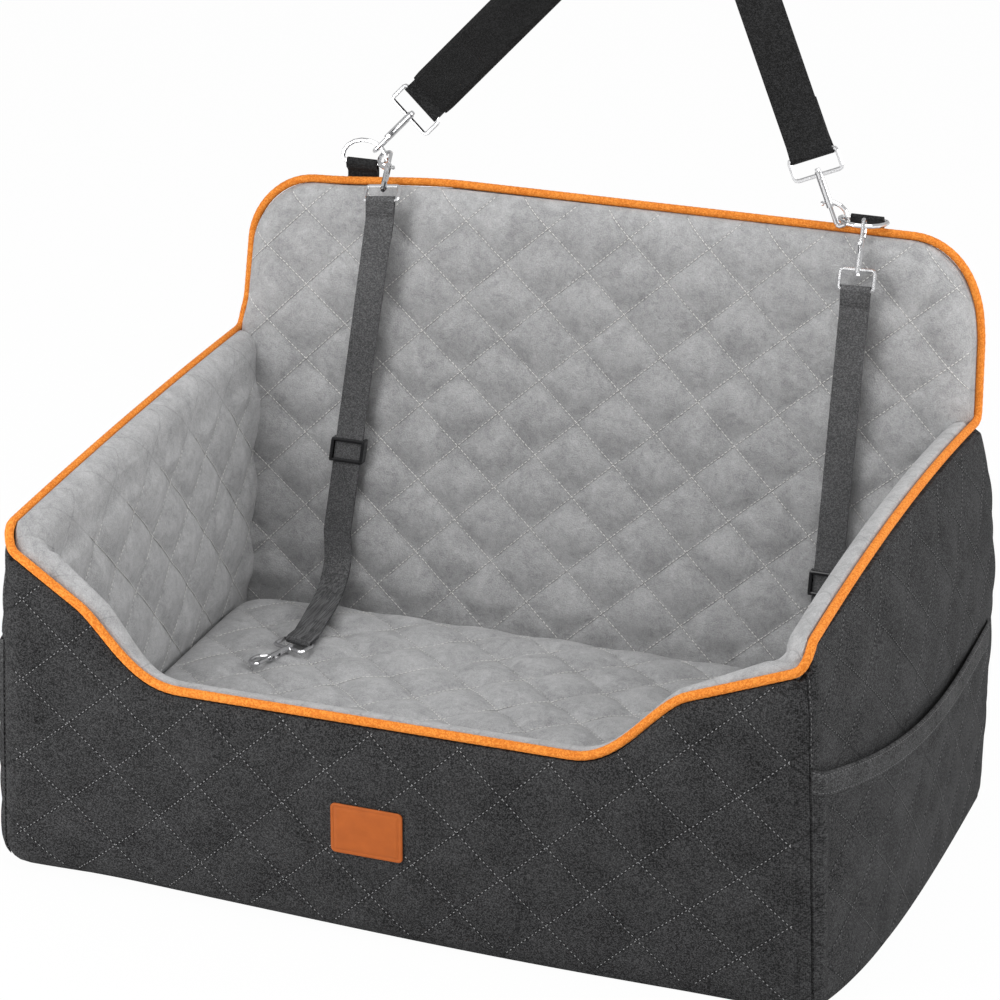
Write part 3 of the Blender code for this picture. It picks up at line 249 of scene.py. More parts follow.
def entry_height(x):
    """Top edge of the front: a low entry, a curve on each side and a rising shoulder."""
    low, knee, rise = ENTRY_SHAPES[1 if x > 0 else -1]
    run = max(abs(x) - low, 0.0)
    share = min(run / (knee - low), 1.0)
    step = ENTRY_END_Z - ENTRY_TOP - rise * (entry_end - low)
    curve = step * 0.5 * (1.0 - math.cos(math.pi * share))
    return ENTRY_TOP + curve + rise * run * ease(share, 0.0, 1.0)


side_out = Vector((1.0, -SIDE_SPLAY, 0.0)) / slope
front_out = Vector((0.0, -1.0, 0.0))
turn = math.acos(side_out.dot(front_out))


def outward(hand):
    """Direction in which the outside of a side wall faces."""
    return Vector((side_out.x * hand, side_out.y, 0))


def corner_arc(z, depth):
    """Centre and radius of the front corner's arc for a layer at this depth."""
    inner_depth = wall_thick(z) - LINING_THICK
    share = min(max((depth - COVER_THICK) / (inner_depth - COVER_THICK), 0.0), 1.0)
    away = FRONT_CORNER + (wall_thick(z) + INNER_CORNER - FRONT_CORNER) * share
    y = y_front(z) + away
    return Vector((x_side(y, z) - away * slope, y, z)), away - depth


full_front = corner_arc(ENTRY_END_Z, 0.0)[0].x


def side_ends(z, depth):
    """Rear and front end of a side wall's straight run, for a layer at this depth."""
    centre, radius = corner_arc(z, depth)
    return y_back(z) - back_thick(z) - SIDE_GAP, centre.y + side_out.y * radius


def wall_point(place, z, depth):
    """Point of a wall at a station (kind, value, hand), at a depth below its outer plane."""
    kind, value, hand = place
    if kind == "side":
        first, last = side_ends(z, depth)
        y = first + (last - first) * value
        return Vector((hand * (x_side(y, z) - depth * slope), y, z))
    if kind == "front":
        x = value
        if abs(value) > FRONT_STRAIGHT:
            share = (abs(value) - FRONT_STRAIGHT) / (full_front - FRONT_STRAIGHT)
            end = corner_arc(z, depth)[0].x
            x = math.copysign(FRONT_STRAIGHT + share * (end - FRONT_STRAIGHT), value)
        return Vector((x, y_front(z) + depth, z))
    centre, radius = corner_arc(z, depth)
    angle = turn * value
    lean = (front_out - side_out * math.cos(turn)) * (math.sin(angle) / math.sin(turn))
    point = centre + (side_out * math.cos(angle) + lean).normalized() * radius
    return Vector((hand * point.x, point.y, z))


def rim_height(place):
    """Height of a wall's top edge at a station."""
    kind, value, hand = place
    if kind == "side":
        y = wall_point(place, WALL_BACK_TOP, 0.0).y
        low, high = y_front(WALL_FRONT_TOP), y_back(WALL_BACK_TOP)
        share = (y - low) / (high - low)
        rise = (WALL_BACK_TOP - WALL_FRONT_TOP) * share
        return WALL_FRONT_TOP + rise + CROWN[hand] * 4 * share * (1 - share)
    if kind == "front":
        return entry_height(value)
    front_end = entry_height(hand * full_front)
    return WALL_FRONT_TOP + (front_end - WALL_FRONT_TOP) * (3 * value ** 2 - 2 * value ** 3)


def side_stations(hand, steps, corner=8, end=0.488):
    """Stations from the backrest to the middle of the front corner."""
    places = [("side", i / steps, hand) for i in range(steps + 1)]
    return places + [("corner", end * i / corner, hand) for i in range(1, corner + 1)]


def front_stations(steps, corner=8, end=0.488):
    """Stations from the middle of the left corner to the middle of the right one."""
    places = [("corner", 1 - end * i / corner, -1) for i in range(corner, 0, -1)]
    places += [("front", -full_front + 2 * full_front * i / steps, 1) for i in range(steps + 1)]
    return places + [("corner", 1 - end * i / corner, 1) for i in range(1, corner + 1)]


def rim_tilt(places):
    """Share by which a drop square to the rim grows when it is measured straight down."""
    tops = [wall_point(p, rim_height(p), 0.0) for p in places]
    tilts = []
    for i in range(len(tops)):
        along = (tops[min(i + 1, len(tops) - 1)] - tops[max(i - 1, 0)]).normalized()
        tilts.append(1.0 / math.sqrt(1.0 - along.z ** 2))
    return tilts


def wall_stations(side_steps, front_steps):
    """The three low walls by name, each with its stations and their tilts."""
    walls = (("left", side_stations(-1, side_steps)), ("front", front_stations(front_steps)),
             ("right", side_stations(1, side_steps)))
    return [(name, list(zip(places, rim_tilt(places)))) for name, places in walls]


def cloth_u(place):
    """Running length along a wall, so that the weave and the diamonds pass the corner."""
    kind, value, hand = place
    if kind == "front":
        return value
    if kind == "side":
        return hand * (FRONT_STRAIGHT + SIDE_RUN * (1.0 - value))
    return hand * (full_front + FRONT_CORNER * turn * (1.0 - value))


def bulge(place, share):
    """Swell of the stuffed wall outside its plane, by share of its height."""
    kind, value, hand = place
    share = min(max(share, 0.0), 1.0)
    rise = (1.0 - share ** 8) * (0.85 + 0.15 * math.sin(math.pi * share))
    if kind == "side":
        value = min(max(value, 0.0), 1.0)
        middle = SIDE_BULGE * (1.0 - value ** 8) * (0.86 + 0.14 * math.sin(math.pi * value))
        return rise * (middle + CORNER_SWELL * value ** 8)
    if kind == "front":
        middle = FRONT_BOW * max(0.0, 1.0 - ((value - BOW_CENTRE) / BOW_HALF) ** 2)
        return rise * (middle + CORNER_SWELL * ease(abs(value), 0.22, full_front))
    return rise * CORNER_SWELL


def puff(u, v, knot, step=DIAMOND, power=0.8):
    """Quilted swelling from 0 on the stitch lines to 1 in the middle of a diamond."""
    a = (u - knot[0]) / step[0] + (v - knot[1]) / step[1]
    b = (u - knot[0]) / step[0] - (v - knot[1]) / step[1]
    return abs(math.sin(math.pi * a / 2) * math.sin(math.pi * b / 2)) ** power


def diamond_lines(knot, u_range, v_range, inside, step=DIAMOND, pitch=0.003, signs=(1, -1)):
    """Slanting stitch lines, falling (1) and rising (-1), cut to where the cloth is."""
    lines = []
    wide, tall = u_range[1] - u_range[0], v_range[1] - v_range[0]
    reach = int(wide / step[0] + tall / step[1]) + 4
    for sign in signs:
        for n in range(-reach, reach + 1):
            run = []
            for i in range(int(wide / pitch) + 1):
                u = u_range[0] + pitch * i
                v = knot[1] + sign * step[1] * (2 * n - (u - knot[0]) / step[0])
                if v_range[0] <= v <= v_range[1] and inside(u, v):
                    run.append((u, v))
                else:
                    lines.append(run)
                    run = []
            lines.append(run)
    return [run for run in lines if len(run) > 2]


def smooth_piece(name, verts, faces, flat=None, sharp=None):
    """Closed piece with outward normals and, where given, a cloth UV map in metres."""
    mesh = bpy.data.meshes.new(name)
    mesh.from_pydata(verts, [], faces)
    if flat is not None:
        layer = mesh.uv_layers.new(name="cloth")
        for loop in mesh.loops:
            layer.data[loop.index].uv = flat[loop.vertex_index]
    tool = bmesh.new()
    tool.from_mesh(mesh)
    bmesh.ops.recalc_face_normals(tool, faces=tool.faces)
    if tool.calc_volume(signed=True) < 0:
        bmesh.ops.reverse_faces(tool, faces=tool.faces)
    tool.to_mesh(mesh)
    tool.free()
    mesh.shade_smooth()
    if sharp is not None:
        mesh.set_sharp_from_angle(angle=math.radians(sharp))
    made = bpy.data.objects.new(name, mesh)
    scene.collection.objects.link(made)
    return made


def skin(name, rows, coords=None, closed=False):
    """Closed skin through rings of points, capped at both ends unless it runs round."""
    count = len(rows[0])
    faces = []
    for r in range(len(rows) if closed else len(rows) - 1):
        s = (r + 1) % len(rows)
        for i in range(count):
            j = (i + 1) % count
            faces.append((r * count + i, r * count + j, s * count + j, s * count + i))
    if not closed:
        faces.append(tuple(range(count)))
        faces.append(tuple(range((len(rows) - 1) * count, len(rows) * count)))
    flat = [c for row in coords for c in row] if coords else None
    return smooth_piece(name, [p for row in rows for p in row], faces, flat, sharp=50)


def dress(piece, look, slot, *solids, fill=None):
    """Put a piece of the seat's body in the place of its solids, in its own material."""
    piece.data.materials.append(look)
    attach(piece, "seat")
    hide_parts(*solids)


def node_group(name, kind, inputs, outputs):
    """New node group with sockets of the given types, and the node that hands its inputs on."""
    made = bpy.data.node_groups.new(name, kind)
    for way, sockets in (('INPUT', inputs), ('OUTPUT', outputs)):
        for socket, sort in sockets.items():
            made.interface.new_socket(socket, in_out=way, socket_type="NodeSocket" + sort)
    return made, add_node(made, "NodeGroupInput")


weave, taken = node_group("plain_weave", 'ShaderNodeTree',
                          {"Coordinates": "Vector", "Threads": "Float", "Fleck Size": "Float"},
                          {"Shade": "Float", "Height": "Float"})
split = add_node(weave, "ShaderNodeSeparateXYZ", {0: taken.outputs["Coordinates"]})
waves = []
for axis in (0, 1):
    turned = compute(weave, 'MULTIPLY', split.outputs[axis], taken.outputs["Threads"])
    waves.append(compute(weave, 'SINE', compute(weave, 'MULTIPLY', turned, math.pi)))
over = rescale(weave, compute(weave, 'MULTIPLY', *waves), -0.2, 0.2)
rounds = [compute(weave, 'ABSOLUTE', wave) for wave in waves]
yarn = add_node(weave, "ShaderNodeMix", {0: over, 2: rounds[0], 3: rounds[1]}).outputs[0]
fleck = add_node(weave, "ShaderNodeTexVoronoi", {"Vector": taken.outputs["Coordinates"],
                                                 "Scale": taken.outputs["Fleck Size"]})
fleck_tone = add_node(weave, "ShaderNodeSeparateXYZ", {0: fleck.outputs["Color"]}).outputs[0]
spread = rescale(weave, fleck_tone, 0.25, 1.0)
blotch = rescale(weave, speckle(weave, taken.outputs["Coordinates"], 26.0, 3.0), 0.3, 0.7, -0.10, 0.10)
weighted = compute(weave, 'MULTIPLY_ADD', yarn, 0.25, blotch)
mottled = compute(weave, 'MULTIPLY_ADD', spread, 0.72, weighted)
bumpy = compute(weave, 'MULTIPLY_ADD', spread, 0.5, yarn)
add_node(weave, "NodeGroupOutput", {"Shade": mottled, "Height": bumpy})

# Nearness to the stitch lines: the mask for the painted shade in the quilting channels.
quilting, taken = node_group("quilt_lines", 'ShaderNodeTree',
                             {"Coordinates": "Vector", "Knot": "Vector", "Step": "Vector", "Width": "Float"},
                             {"Line": "Float"})
moved = add_node(quilting, "ShaderNodeVectorMath", {0: taken.outputs["Coordinates"],
                                                    1: taken.outputs["Knot"]}, operation='SUBTRACT')
scaled = add_node(quilting, "ShaderNodeVectorMath", {0: moved.outputs[0],
                                                     1: taken.outputs["Step"]}, operation='DIVIDE')
split = add_node(quilting, "ShaderNodeSeparateXYZ", {0: scaled.outputs[0]})
nearness = []
for operation in ('ADD', 'SUBTRACT'):
    slant = compute(quilting, operation, split.outputs[0], split.outputs[1])
    nearness.append(compute(quilting, 'PINGPONG', slant, 1.0))
closest = compute(quilting, 'MINIMUM', *nearness)
line = rescale(quilting, closest, 0.0, taken.outputs["Width"], 1.0, 0.0, interpolation_type='SMOOTHSTEP')
add_node(quilting, "NodeGroupOutput", {"Line": line})


def paint_channel_shade(tree, shader, colour, knot, step, width, tone):
    """Paint shade into a quilted material's colour in the channels along its stitch lines."""
    own = add_node(tree, "ShaderNodeUVMap", uv_map="cloth")
    pattern = {"Coordinates": own.outputs[0], "Knot": (*knot, 0.0), "Step": (*step, 1.0), "Width": width}
    lines = add_node(tree, "ShaderNodeGroup", pattern, node_tree=quilting)
    # Painted shade: the colour is darkened down to the tone where a stitch line's channel lies.
    crease_shade = rescale(tree, lines.outputs["Line"], to_min=1.0, to_max=tone)
    shaded = add_node(tree, "ShaderNodeMix", {0: 1.0, 6: colour, 7: crease_shade}, data_type='RGBA',
                      blend_type='MULTIPLY')
    tree.links.new(shaded.outputs[2], shader.inputs["Base Color"])


def cloth_material(name, dark, light, threads=850.0, fleck_size=1300.0, knot=None, step=DIAMOND,
                   roughness=0.92, bump=0.35):
    """Woven cloth on a piece's own UV map, with painted shade in the quilting channels."""
    made, tree, shader = new_material(name, roughness, specular=0.12)
    own = add_node(tree, "ShaderNodeUVMap", uv_map="cloth")
    cloth = add_node(tree, "ShaderNodeGroup", {"Coordinates": own.outputs[0], "Threads": threads,
                                               "Fleck Size": fleck_size}, node_tree=weave)
    colour = tint(tree, shader, cloth.outputs["Shade"], dark, light)
    if knot is not None:
        # Painted shade: the colour is darkened to 0.55 in narrow channels along the stitch lines.
        paint_channel_shade(tree, shader, colour, knot, step, 0.055, 0.55)
    emboss(tree, shader, cloth.outputs["Height"], bump, 0.0006)
    shader.inputs["Sheen Weight"].default_value = 0.02
    shader.inputs["Sheen Roughness"].default_value = 0.5
    return made


CHARCOAL_DARK = (0.004, 0.004, 0.0042)
CHARCOAL_LIGHT = (0.078, 0.078, 0.080)
cover_cloth = cloth_material("quilted_charcoal", CHARCOAL_DARK, CHARCOAL_LIGHT, knot=FRONT_KNOT)

# The pocket's mouth and the label, which hold the quilting under them flat.
POCKET_FRONT = -0.214
POCKET_BACK = 0.198
POCKET_BOTTOM = 0.012
POCKET_FRONT_Z = 0.205
POCKET_BACK_Z = 0.170
POCKET_DIP = 0.013
LABEL = {"left": -0.0475, "right": 0.0115, "low": 0.0735, "high": 0.1160}
LABEL_X = (LABEL["left"] + LABEL["right"]) / 2
LABEL_Z = (LABEL["low"] + LABEL["high"]) / 2


def pocket_top(share):
    """Height of the pocket's mouth, from its back end to its front end."""
    straight = POCKET_BACK_Z + (POCKET_FRONT_Z - POCKET_BACK_Z) * share
    return straight - POCKET_DIP * math.sin(math.pi * share)


def under_pocket(z, mouth):
    """Share by which a height lies under the pocket's mouth."""
    return 1 - ease(z, mouth - 0.004, mouth + 0.008)


def pressed_flat(place, z):
    """Share by which the pocket or the label holds the quilting down."""
    kind, value, hand = place
    if kind == "front":
        return (1 - ease(abs(value - LABEL_X), 0.031, 0.037)) * (1 - ease(abs(z - LABEL_Z), 0.0225, 0.028))
    if kind == "side":
        y = wall_point(place, z, 0.0).y
        share = min(max((y - POCKET_BACK) / (POCKET_FRONT - POCKET_BACK), 0.0), 1.0)
        return (1 - ease(y, POCKET_BACK, POCKET_BACK + 0.006)) * under_pocket(z, pocket_top(share))
    return under_pocket(z, POCKET_FRONT_Z)


def foot(place, z):
    """How far the foot of the cover is drawn in, more towards the front's left end."""
    kind, value, hand = place
    soft = 0.0
    if kind == "front":
        soft = ease(-value, -0.25, 0.30)
    elif hand < 0:
        soft = 1.0 if kind == "corner" else ease(value, 0.2, 0.9)
    high = 0.012 + 0.016 * soft
    deep = 0.003 + 0.2 * bulge(place, 0.0) + 0.021 * soft
    return deep * (1 - math.sqrt(1 - (1 - min(z / high, 1.0)) ** 2))


def cover_surface(place, z, tilt):
    """Point of the quilted outside of a wall."""
    top = rim_height(place)
    u = cloth_u(place)
    loose = ease(top - UNDER_PIPING * tilt - z, 0.0, 0.008) * ease(z, 0.004, 0.018)
    loose *= 1 - pressed_flat(place, z)
    swell = COVER_PUFF * puff(u, z, FRONT_KNOT) * loose
    ripple = 0.0013 * noise.noise(Vector((u * 14, z * 18, place[2]))) * loose
    return wall_point(place, z, foot(place, z) - bulge(place, z / top) - swell - ripple)


cover_pieces = {}
for name, stations in wall_stations(150, 230):
    rows, coords = [], []
    for place, tilt in stations:
        edge = rim_height(place) - UNDER_PIPING * tilt
        heights = [0.0, 0.0012, 0.0035, 0.0065] + [0.010 + (edge - 0.010) * i / 100 for i in range(101)]
        ring = [cover_surface(place, z, tilt) for z in heights]
        for z, depth in ((edge + 0.0002, COVER_THICK * 0.5), (edge, COVER_THICK), (0.030, COVER_THICK),
                         (0.0, COVER_THICK + foot(place, 0.0))):
            ring.append(wall_point(place, z, depth))
        rows.append(ring)
        coords.append([(cloth_u(place), p.z) for p in ring])
    cover_pieces[name] = skin(name + "_quilted_cover", rows, coords)
    dress(cover_pieces[name], cover_cloth, "charcoal_cloth", name + "_cover", fill=0.3)


# Quilting thread. Short machine stitches that follow the diamonds: grey on the outside,
# nearly white on the plush, each a small bead of thread pulled into the cloth.
STITCH_PITCH = 0.0040
STITCH_LENGTH = 0.0022
THREAD_RADIUS = 0.00040
THREAD_OUT = 0.6
NEEDLE_REACH = 0.012
SEAM_ALLOWANCE = 0.009
QUILT_FOOT = 0.010
QUILT_TOP = 0.34
SIDE_QUILT_ENDS = (0.203, 0.613)
CORNER_SEAM = 0.44

stitching, taken = node_group("stitch_row", 'GeometryNodeTree',
                              {"Lines": "Geometry", "Pitch": "Float", "Length": "Float", "Radius": "Float",
                               "Thread": "Material"}, {"Stitches": "Geometry"})
as_curve = add_node(stitching, "GeometryNodeMeshToCurve", {0: taken.outputs["Lines"]})
spaced = add_node(stitching, "GeometryNodeResampleCurve", {"Curve": as_curve.outputs[0],
                                                           "Length": taken.outputs["Pitch"]}, mode='LENGTH')
bead = add_node(stitching, "GeometryNodeMeshIcoSphere", {"Radius": 0.5, "Subdivisions": 1})
tangent = add_node(stitching, "GeometryNodeInputTangent")
aligned = add_node(stitching, "FunctionNodeAlignRotationToVector", {"Vector": tangent.outputs[0]}, axis='X')
wide = compute(stitching, 'MULTIPLY', taken.outputs["Radius"], 2.0)
bead_size = add_node(stitching, "ShaderNodeCombineXYZ", {0: taken.outputs["Length"], 1: wide, 2: wide})
placed = add_node(stitching, "GeometryNodeInstanceOnPoints", {"Points": spaced.outputs[0],
                                                              "Instance": bead.outputs[0],
                                                              "Rotation": aligned.outputs[0],
                                                              "Scale": bead_size.outputs[0]})
real = add_node(stitching, "GeometryNodeRealizeInstances", {0: placed.outputs[0]})
dressed = add_node(stitching, "GeometryNodeSetMaterial", {"Geometry": real.outputs[0],
                                                          "Material": taken.outputs["Thread"]})
add_node(stitching, "NodeGroupOutput", {"Stitches": dressed.outputs[0]})
stitch_inputs = {item.name: item.identifier for item in stitching.interface.items_tree
                 if item.in_out == 'INPUT'}


def surface_tree(piece):
    """Faces of a piece, ready to be hit by a needle from outside."""
    return BVHTree.FromPolygons([piece.matrix_world @ v.co for v in piece.data.vertices],
                                [p.vertices for p in piece.data.polygons])


def stitch_rows(name, lines, thread, onto, facing, body="seat", pitch=STITCH_PITCH,
                length=STITCH_LENGTH, radius=THREAD_RADIUS):
    """Rows of stitches laid on a piece along lines, as one plain mesh that rides on a body."""
    cloth = surface_tree(onto)
    verts, edges = [], []
    for run in lines:
        found = [cloth.ray_cast(p + facing * NEEDLE_REACH, -facing, 2 * NEEDLE_REACH)[0] for p in run]
        laid = [p + facing * (radius * THREAD_OUT) for p in found if p is not None]
        edges += [(len(verts) + i, len(verts) + i + 1) for i in range(len(laid) - 1)]
        verts += laid
    mesh = bpy.data.meshes.new(name)
    mesh.from_pydata(verts, edges, [])
    guide = bpy.data.objects.new(name + "_guide", mesh)
    scene.collection.objects.link(guide)
    sewn = guide.modifiers.new("sewn", 'NODES')
    sewn.node_group = stitching
    sewn[stitch_inputs["Pitch"]] = pitch
    sewn[stitch_inputs["Length"]] = length
    sewn[stitch_inputs["Radius"]] = radius
    sewn[stitch_inputs["Thread"]] = thread
    view = bpy.context.evaluated_depsgraph_get()
    result = bpy.data.meshes.new_from_object(guide.evaluated_get(view))
    result.name = name
    result.shade_smooth()
    bpy.data.objects.remove(guide, do_unlink=True)
    made = bpy.data.objects.new(name, result)
    scene.collection.objects.link(made)
    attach(made, body)
    return made


def thread_material(name, colour):
    """Spun thread, with painted shade in flecks up to a quarter darker, standing in for fibres that turn
    away.
    """
    made, tree, shader = new_material(name, roughness=0.6)
    # Painted shade: noise flecks darken the thread's colour by up to a quarter.
    fibre = speckle(tree, object_point(tree), 1500.0)
    tint(tree, shader, fibre, [c * 0.75 for c in colour], colour)
    return made


grey_thread = thread_material("grey_thread", (0.33, 0.33, 0.335))
dull_thread = thread_material("dull_thread", (0.15, 0.15, 0.153))
pale_thread = thread_material("pale_thread", (0.78, 0.77, 0.75))


def station_at(u, hand=0):
    """Station of the front, or of the side on a hand, whose running length is u."""
    if hand == 0:
        return ("front", u, 1)
    return ("side", 1.0 - (abs(u) - FRONT_STRAIGHT) / SIDE_RUN, hand)


def side_span(hand):
    """Running lengths between which a side is quilted, smaller one first."""
    return sorted(hand * end for end in SIDE_QUILT_ENDS)


rows = []
for run in diamond_lines(FRONT_KNOT, (-full_front, full_front), (QUILT_FOOT, ENTRY_END_Z),
                         lambda u, v: v < entry_height(u) - SEAM_ALLOWANCE):
    rows.append([cover_surface(station_at(u), v, 1.0) for u, v in run
                 if pressed_flat(station_at(u), v) < 0.5])
stitch_rows("front_cover_thread", rows, grey_thread, cover_pieces["front"], front_out)
for name, hand in SIDES:
    rows = []
    for run in diamond_lines(FRONT_KNOT, side_span(hand), (QUILT_FOOT, QUILT_TOP),
                             lambda u, v: v < rim_height(station_at(u, hand)) - SEAM_ALLOWANCE):
        rows.append([cover_surface(station_at(u, hand), v, 1.0) for u, v in run
                     if pressed_flat(station_at(u, hand), v) < 0.5])
    stitch_rows(name + "_cover_thread", rows, dull_thread, cover_pieces[name], outward(hand))
    seam = [cover_surface(("corner", CORNER_SEAM, hand), 0.014 + 0.003 * i, 1.0) for i in range(92)]
    stitch_rows(name + "_corner_seam", [seam], dull_thread, cover_pieces[name],
                (outward(hand) + front_out).normalized(), pitch=0.0042)


# Plush lining. Short grey pile over foam, quilted in the same diamonds with a pale
# thread and rolled over the top of each wall, where the orange piping holds its edge.
CAP_DROP = 0.0100
FLOOR_Z = 0.0086
LINING_PUFF = 0.0062
CAP_DEPTH = COVER_THICK + 0.001
ROLL_STEPS = 14
HIDDEN_FOOT = 0.06
PLUSH_QUILT_FOOT = 0.085
SIDE_KNOT = (0.4614, 0.2179)
SIDE_STEP = (0.0381, 0.0355)

plush, taken = node_group("short_plush", 'ShaderNodeTree', {"Coordinates": "Vector"},
                          {"Shade": "Float", "Height": "Float"})
shade = 0.0
for scale, more, low, high, weight in (
        (170.0, {"detail": 3.0, "Roughness": 0.65, "Distortion": 0.6}, 0.30, 0.70, 0.34),
        (30.0, {"detail": 4.0, "Distortion": 1.2}, 0.35, 0.65, 0.26),
        (900.0, {"Roughness": 0.6}, 0.30, 0.70, 0.40)):
    tufts = rescale(plush, speckle(plush, taken.outputs["Coordinates"], scale, **more), low, high)
    shade = compute(plush, 'MULTIPLY_ADD', tufts, weight, shade)
add_node(plush, "NodeGroupOutput", {"Shade": shade, "Height": shade})


def plush_material(name, dark, light, knot=None, step=DIAMOND):
    """Short pile with a soft sheen, with a little painted shade in the quilting channels."""
    made, tree, shader = new_material(name, roughness=0.95)
    fur = add_node(tree, "ShaderNodeGroup", {"Coordinates": object_point(tree)}, node_tree=plush)
    colour = tint(tree, shader, fur.outputs["Shade"], dark, light)
    if knot is not None:
        # Painted shade: the colour is darkened to 0.80 in the channels along the stitch lines.
        paint_channel_shade(tree, shader, colour, knot, step, 0.045, 0.80)
    emboss(tree, shader, fur.outputs["Height"], 0.6, 0.0015)
    shader.inputs["Sheen Weight"].default_value = 0.22
    shader.inputs["Sheen Roughness"].default_value = 0.6
    return made


def lining_knot(hand):
    """Where a lining's diamonds start, and their step."""
    return ((hand * SIDE_KNOT[0], SIDE_KNOT[1]), SIDE_STEP) if hand else (FRONT_KNOT, DIAMOND)


PLUSH_DARK = (0.21, 0.21, 0.214)
PLUSH_LIGHT = (0.53, 0.53, 0.535)
lining_plush = {"front": plush_material("quilted_plush", PLUSH_DARK, PLUSH_LIGHT, *lining_knot(0))}
for name, hand in SIDES:
    lining_plush[name] = plush_material(name + "_quilted_plush", PLUSH_DARK, PLUSH_LIGHT,
                                        *lining_knot(hand))


def roll_radius(top):
    """Radius of the soft roll that fills the wall from its piping to its inner face."""
    return wall_thick(top) - LINING_THICK


def lining_surface(place, z, tilt):
    """Point of the quilted plush on the inside of a wall."""
    top = rim_height(place)
    u = cloth_u(place)
    hand = place[2] if place[0] == "side" else 0
    knot, step = lining_knot(hand)
    if hand:
        near_top = ease(top - z, 0.036, 0.050)
    else:
        near_top = ease(top - roll_radius(top) * tilt - z, 0.0, 0.016)
    near_foot = ease(z, 0.085, 0.110)
    swell = LINING_PUFF * puff(u, z, knot, step, 0.6) * near_top * near_foot * (place[0] != "corner")
    ripple = 0.0010 * noise.noise(Vector((u * 16, z * 16, 7 + place[2]))) * near_foot
    return wall_point(place, z, wall_thick(z) + swell + ripple)


lining_pieces = {}
for name, stations in wall_stations(130, 220):
    rows, coords = [], []
    for place, tilt in stations:
        top = rim_height(place)
        roll = roll_radius(top)
        low_roll = top - roll * tilt
        ring = [wall_point(place, FLOOR_Z, wall_thick(FLOOR_Z))]
        ring += [lining_surface(place, FLOOR_Z + HIDDEN_FOOT + (low_roll - FLOOR_Z - HIDDEN_FOOT) * i / 70,
                                tilt) for i in range(71)]
        for i in range(1, ROLL_STEPS + 1):
            angle = math.pi * 0.5 * i / ROLL_STEPS
            depth = wall_thick(top) - roll * (1 - math.cos(angle))
            ring.append(wall_point(place, top - roll * tilt * (1 - math.sin(angle)), depth))
        for down, depth in ((0.0, 0.0030), (0.0012, 0.0008), (0.0040, 0.0), (CAP_DROP, 0.0)):
            ring.append(wall_point(place, top - down * tilt, CAP_DEPTH + depth))
        ring += [wall_point(place, top - CAP_DROP * tilt, wall_thick(top - CAP_DROP) - LINING_THICK),
                 wall_point(place, FLOOR_Z, wall_thick(FLOOR_Z) - LINING_THICK)]
        rows.append(ring)
        coords.append([(cloth_u(place), p.z) for p in ring])
    lining_pieces[name] = skin(name + "_quilted_lining", rows, coords)
    dress(lining_pieces[name], lining_plush[name], "grey_plush", name + "_lining", name + "_foam", fill=0.6)

# Rows of thread in the lining: falling ones have slightly longer stitches than rising ones.
STITCH_WAYS = ((1, "falling", 0.0042), (-1, "rising", 0.0038))
for name, hand, low, high, clear in (("front", 0, -full_front + 0.01, full_front - 0.01, 0.022),
                                     ("left", -1, -0.613, -0.215, 0.046),
                                     ("right", 1, 0.215, 0.613, 0.046)):
    inward = -outward(hand) if hand else -front_out
    knot, step = lining_knot(hand)
    for sign, way, size in STITCH_WAYS:
        rows = []
        for run in diamond_lines(knot, (low, high), (PLUSH_QUILT_FOOT, QUILT_TOP),
                                 lambda u, v: v < rim_height(station_at(u, hand)) - clear,
                                 step, signs=(sign,)):
            rows.append([lining_surface(station_at(u, hand), v, 1.0) for u, v in run])
        stitch_rows(name + "_lining_" + way + "_thread", rows, pale_thread, lining_pieces[name], inward,
                    length=size, radius=0.00042)


# Backrest. A tall padded panel with rounded top corners: quilted plush in front, rolled
# softly over its edge, and the charcoal cloth behind, with the piping between them.
BACK_KNOT = (-0.0097, 0.4174)
BACK_STEP = (0.0356, 0.0333)
BACK_ROLL_HEIGHT = 0.024
BACK_ROLL_DEPTH = 0.0125
BACK_PUFF = 0.0056
BACK_INSET = 0.0044


def back_half(z, inset, depth):
    """Half width of the backrest at a height, for a layer drawn in from the edge."""
    y = y_back(z) - depth
    side = x_side(y, z) - inset * slope
    centre_z = BACK_TOP - BACK_CORNER
    if z <= centre_z:
        return side
    radius = BACK_CORNER - inset
    rise = min(z - centre_z, radius)
    return side - radius + math.sqrt(max(radius ** 2 - rise ** 2, 0.0))


def sag(x, z):
    """How far the soft left corner has settled."""
    return 0.0095 * ease(-x, 0.13, 0.28) * ease(z, 0.28, 0.47)


def settle(point):
    """Move a point of the unloaded panel to where the used one holds it."""
    x, y, z = point
    if x < 0:
        x += 0.0035 * ease(-x, 0.26, 0.33) * ease(z, 0.33, 0.36)
    else:
        x -= 0.0040 * ease(x, 0.26, 0.33) * ease(z, 0.39, 0.44)
    return Vector((x, y - BACK_LEAN * sag(point[0], z), z - sag(point[0], z)))


def edge_distance(x, z):
    """How far a point of the unloaded backrest lies inside its outline."""
    side = x_side(y_back(z) - 0.02, z) - 0.001
    centre_x, centre_z = side - BACK_CORNER, BACK_TOP - BACK_CORNER
    if abs(x) > centre_x and z > centre_z:
        return BACK_CORNER - math.hypot(abs(x) - centre_x, z - centre_z)
    return min(side - abs(x), BACK_TOP - z)


def lattice(x, z, way=1):
    """Where a point lies in the quilting's even diamonds, or back again with way -1."""
    aside = 0.045 * min(x, 0.0) * (z - 0.2) / 0.24
    return x - way * aside, z + way * 0.115 * x * x


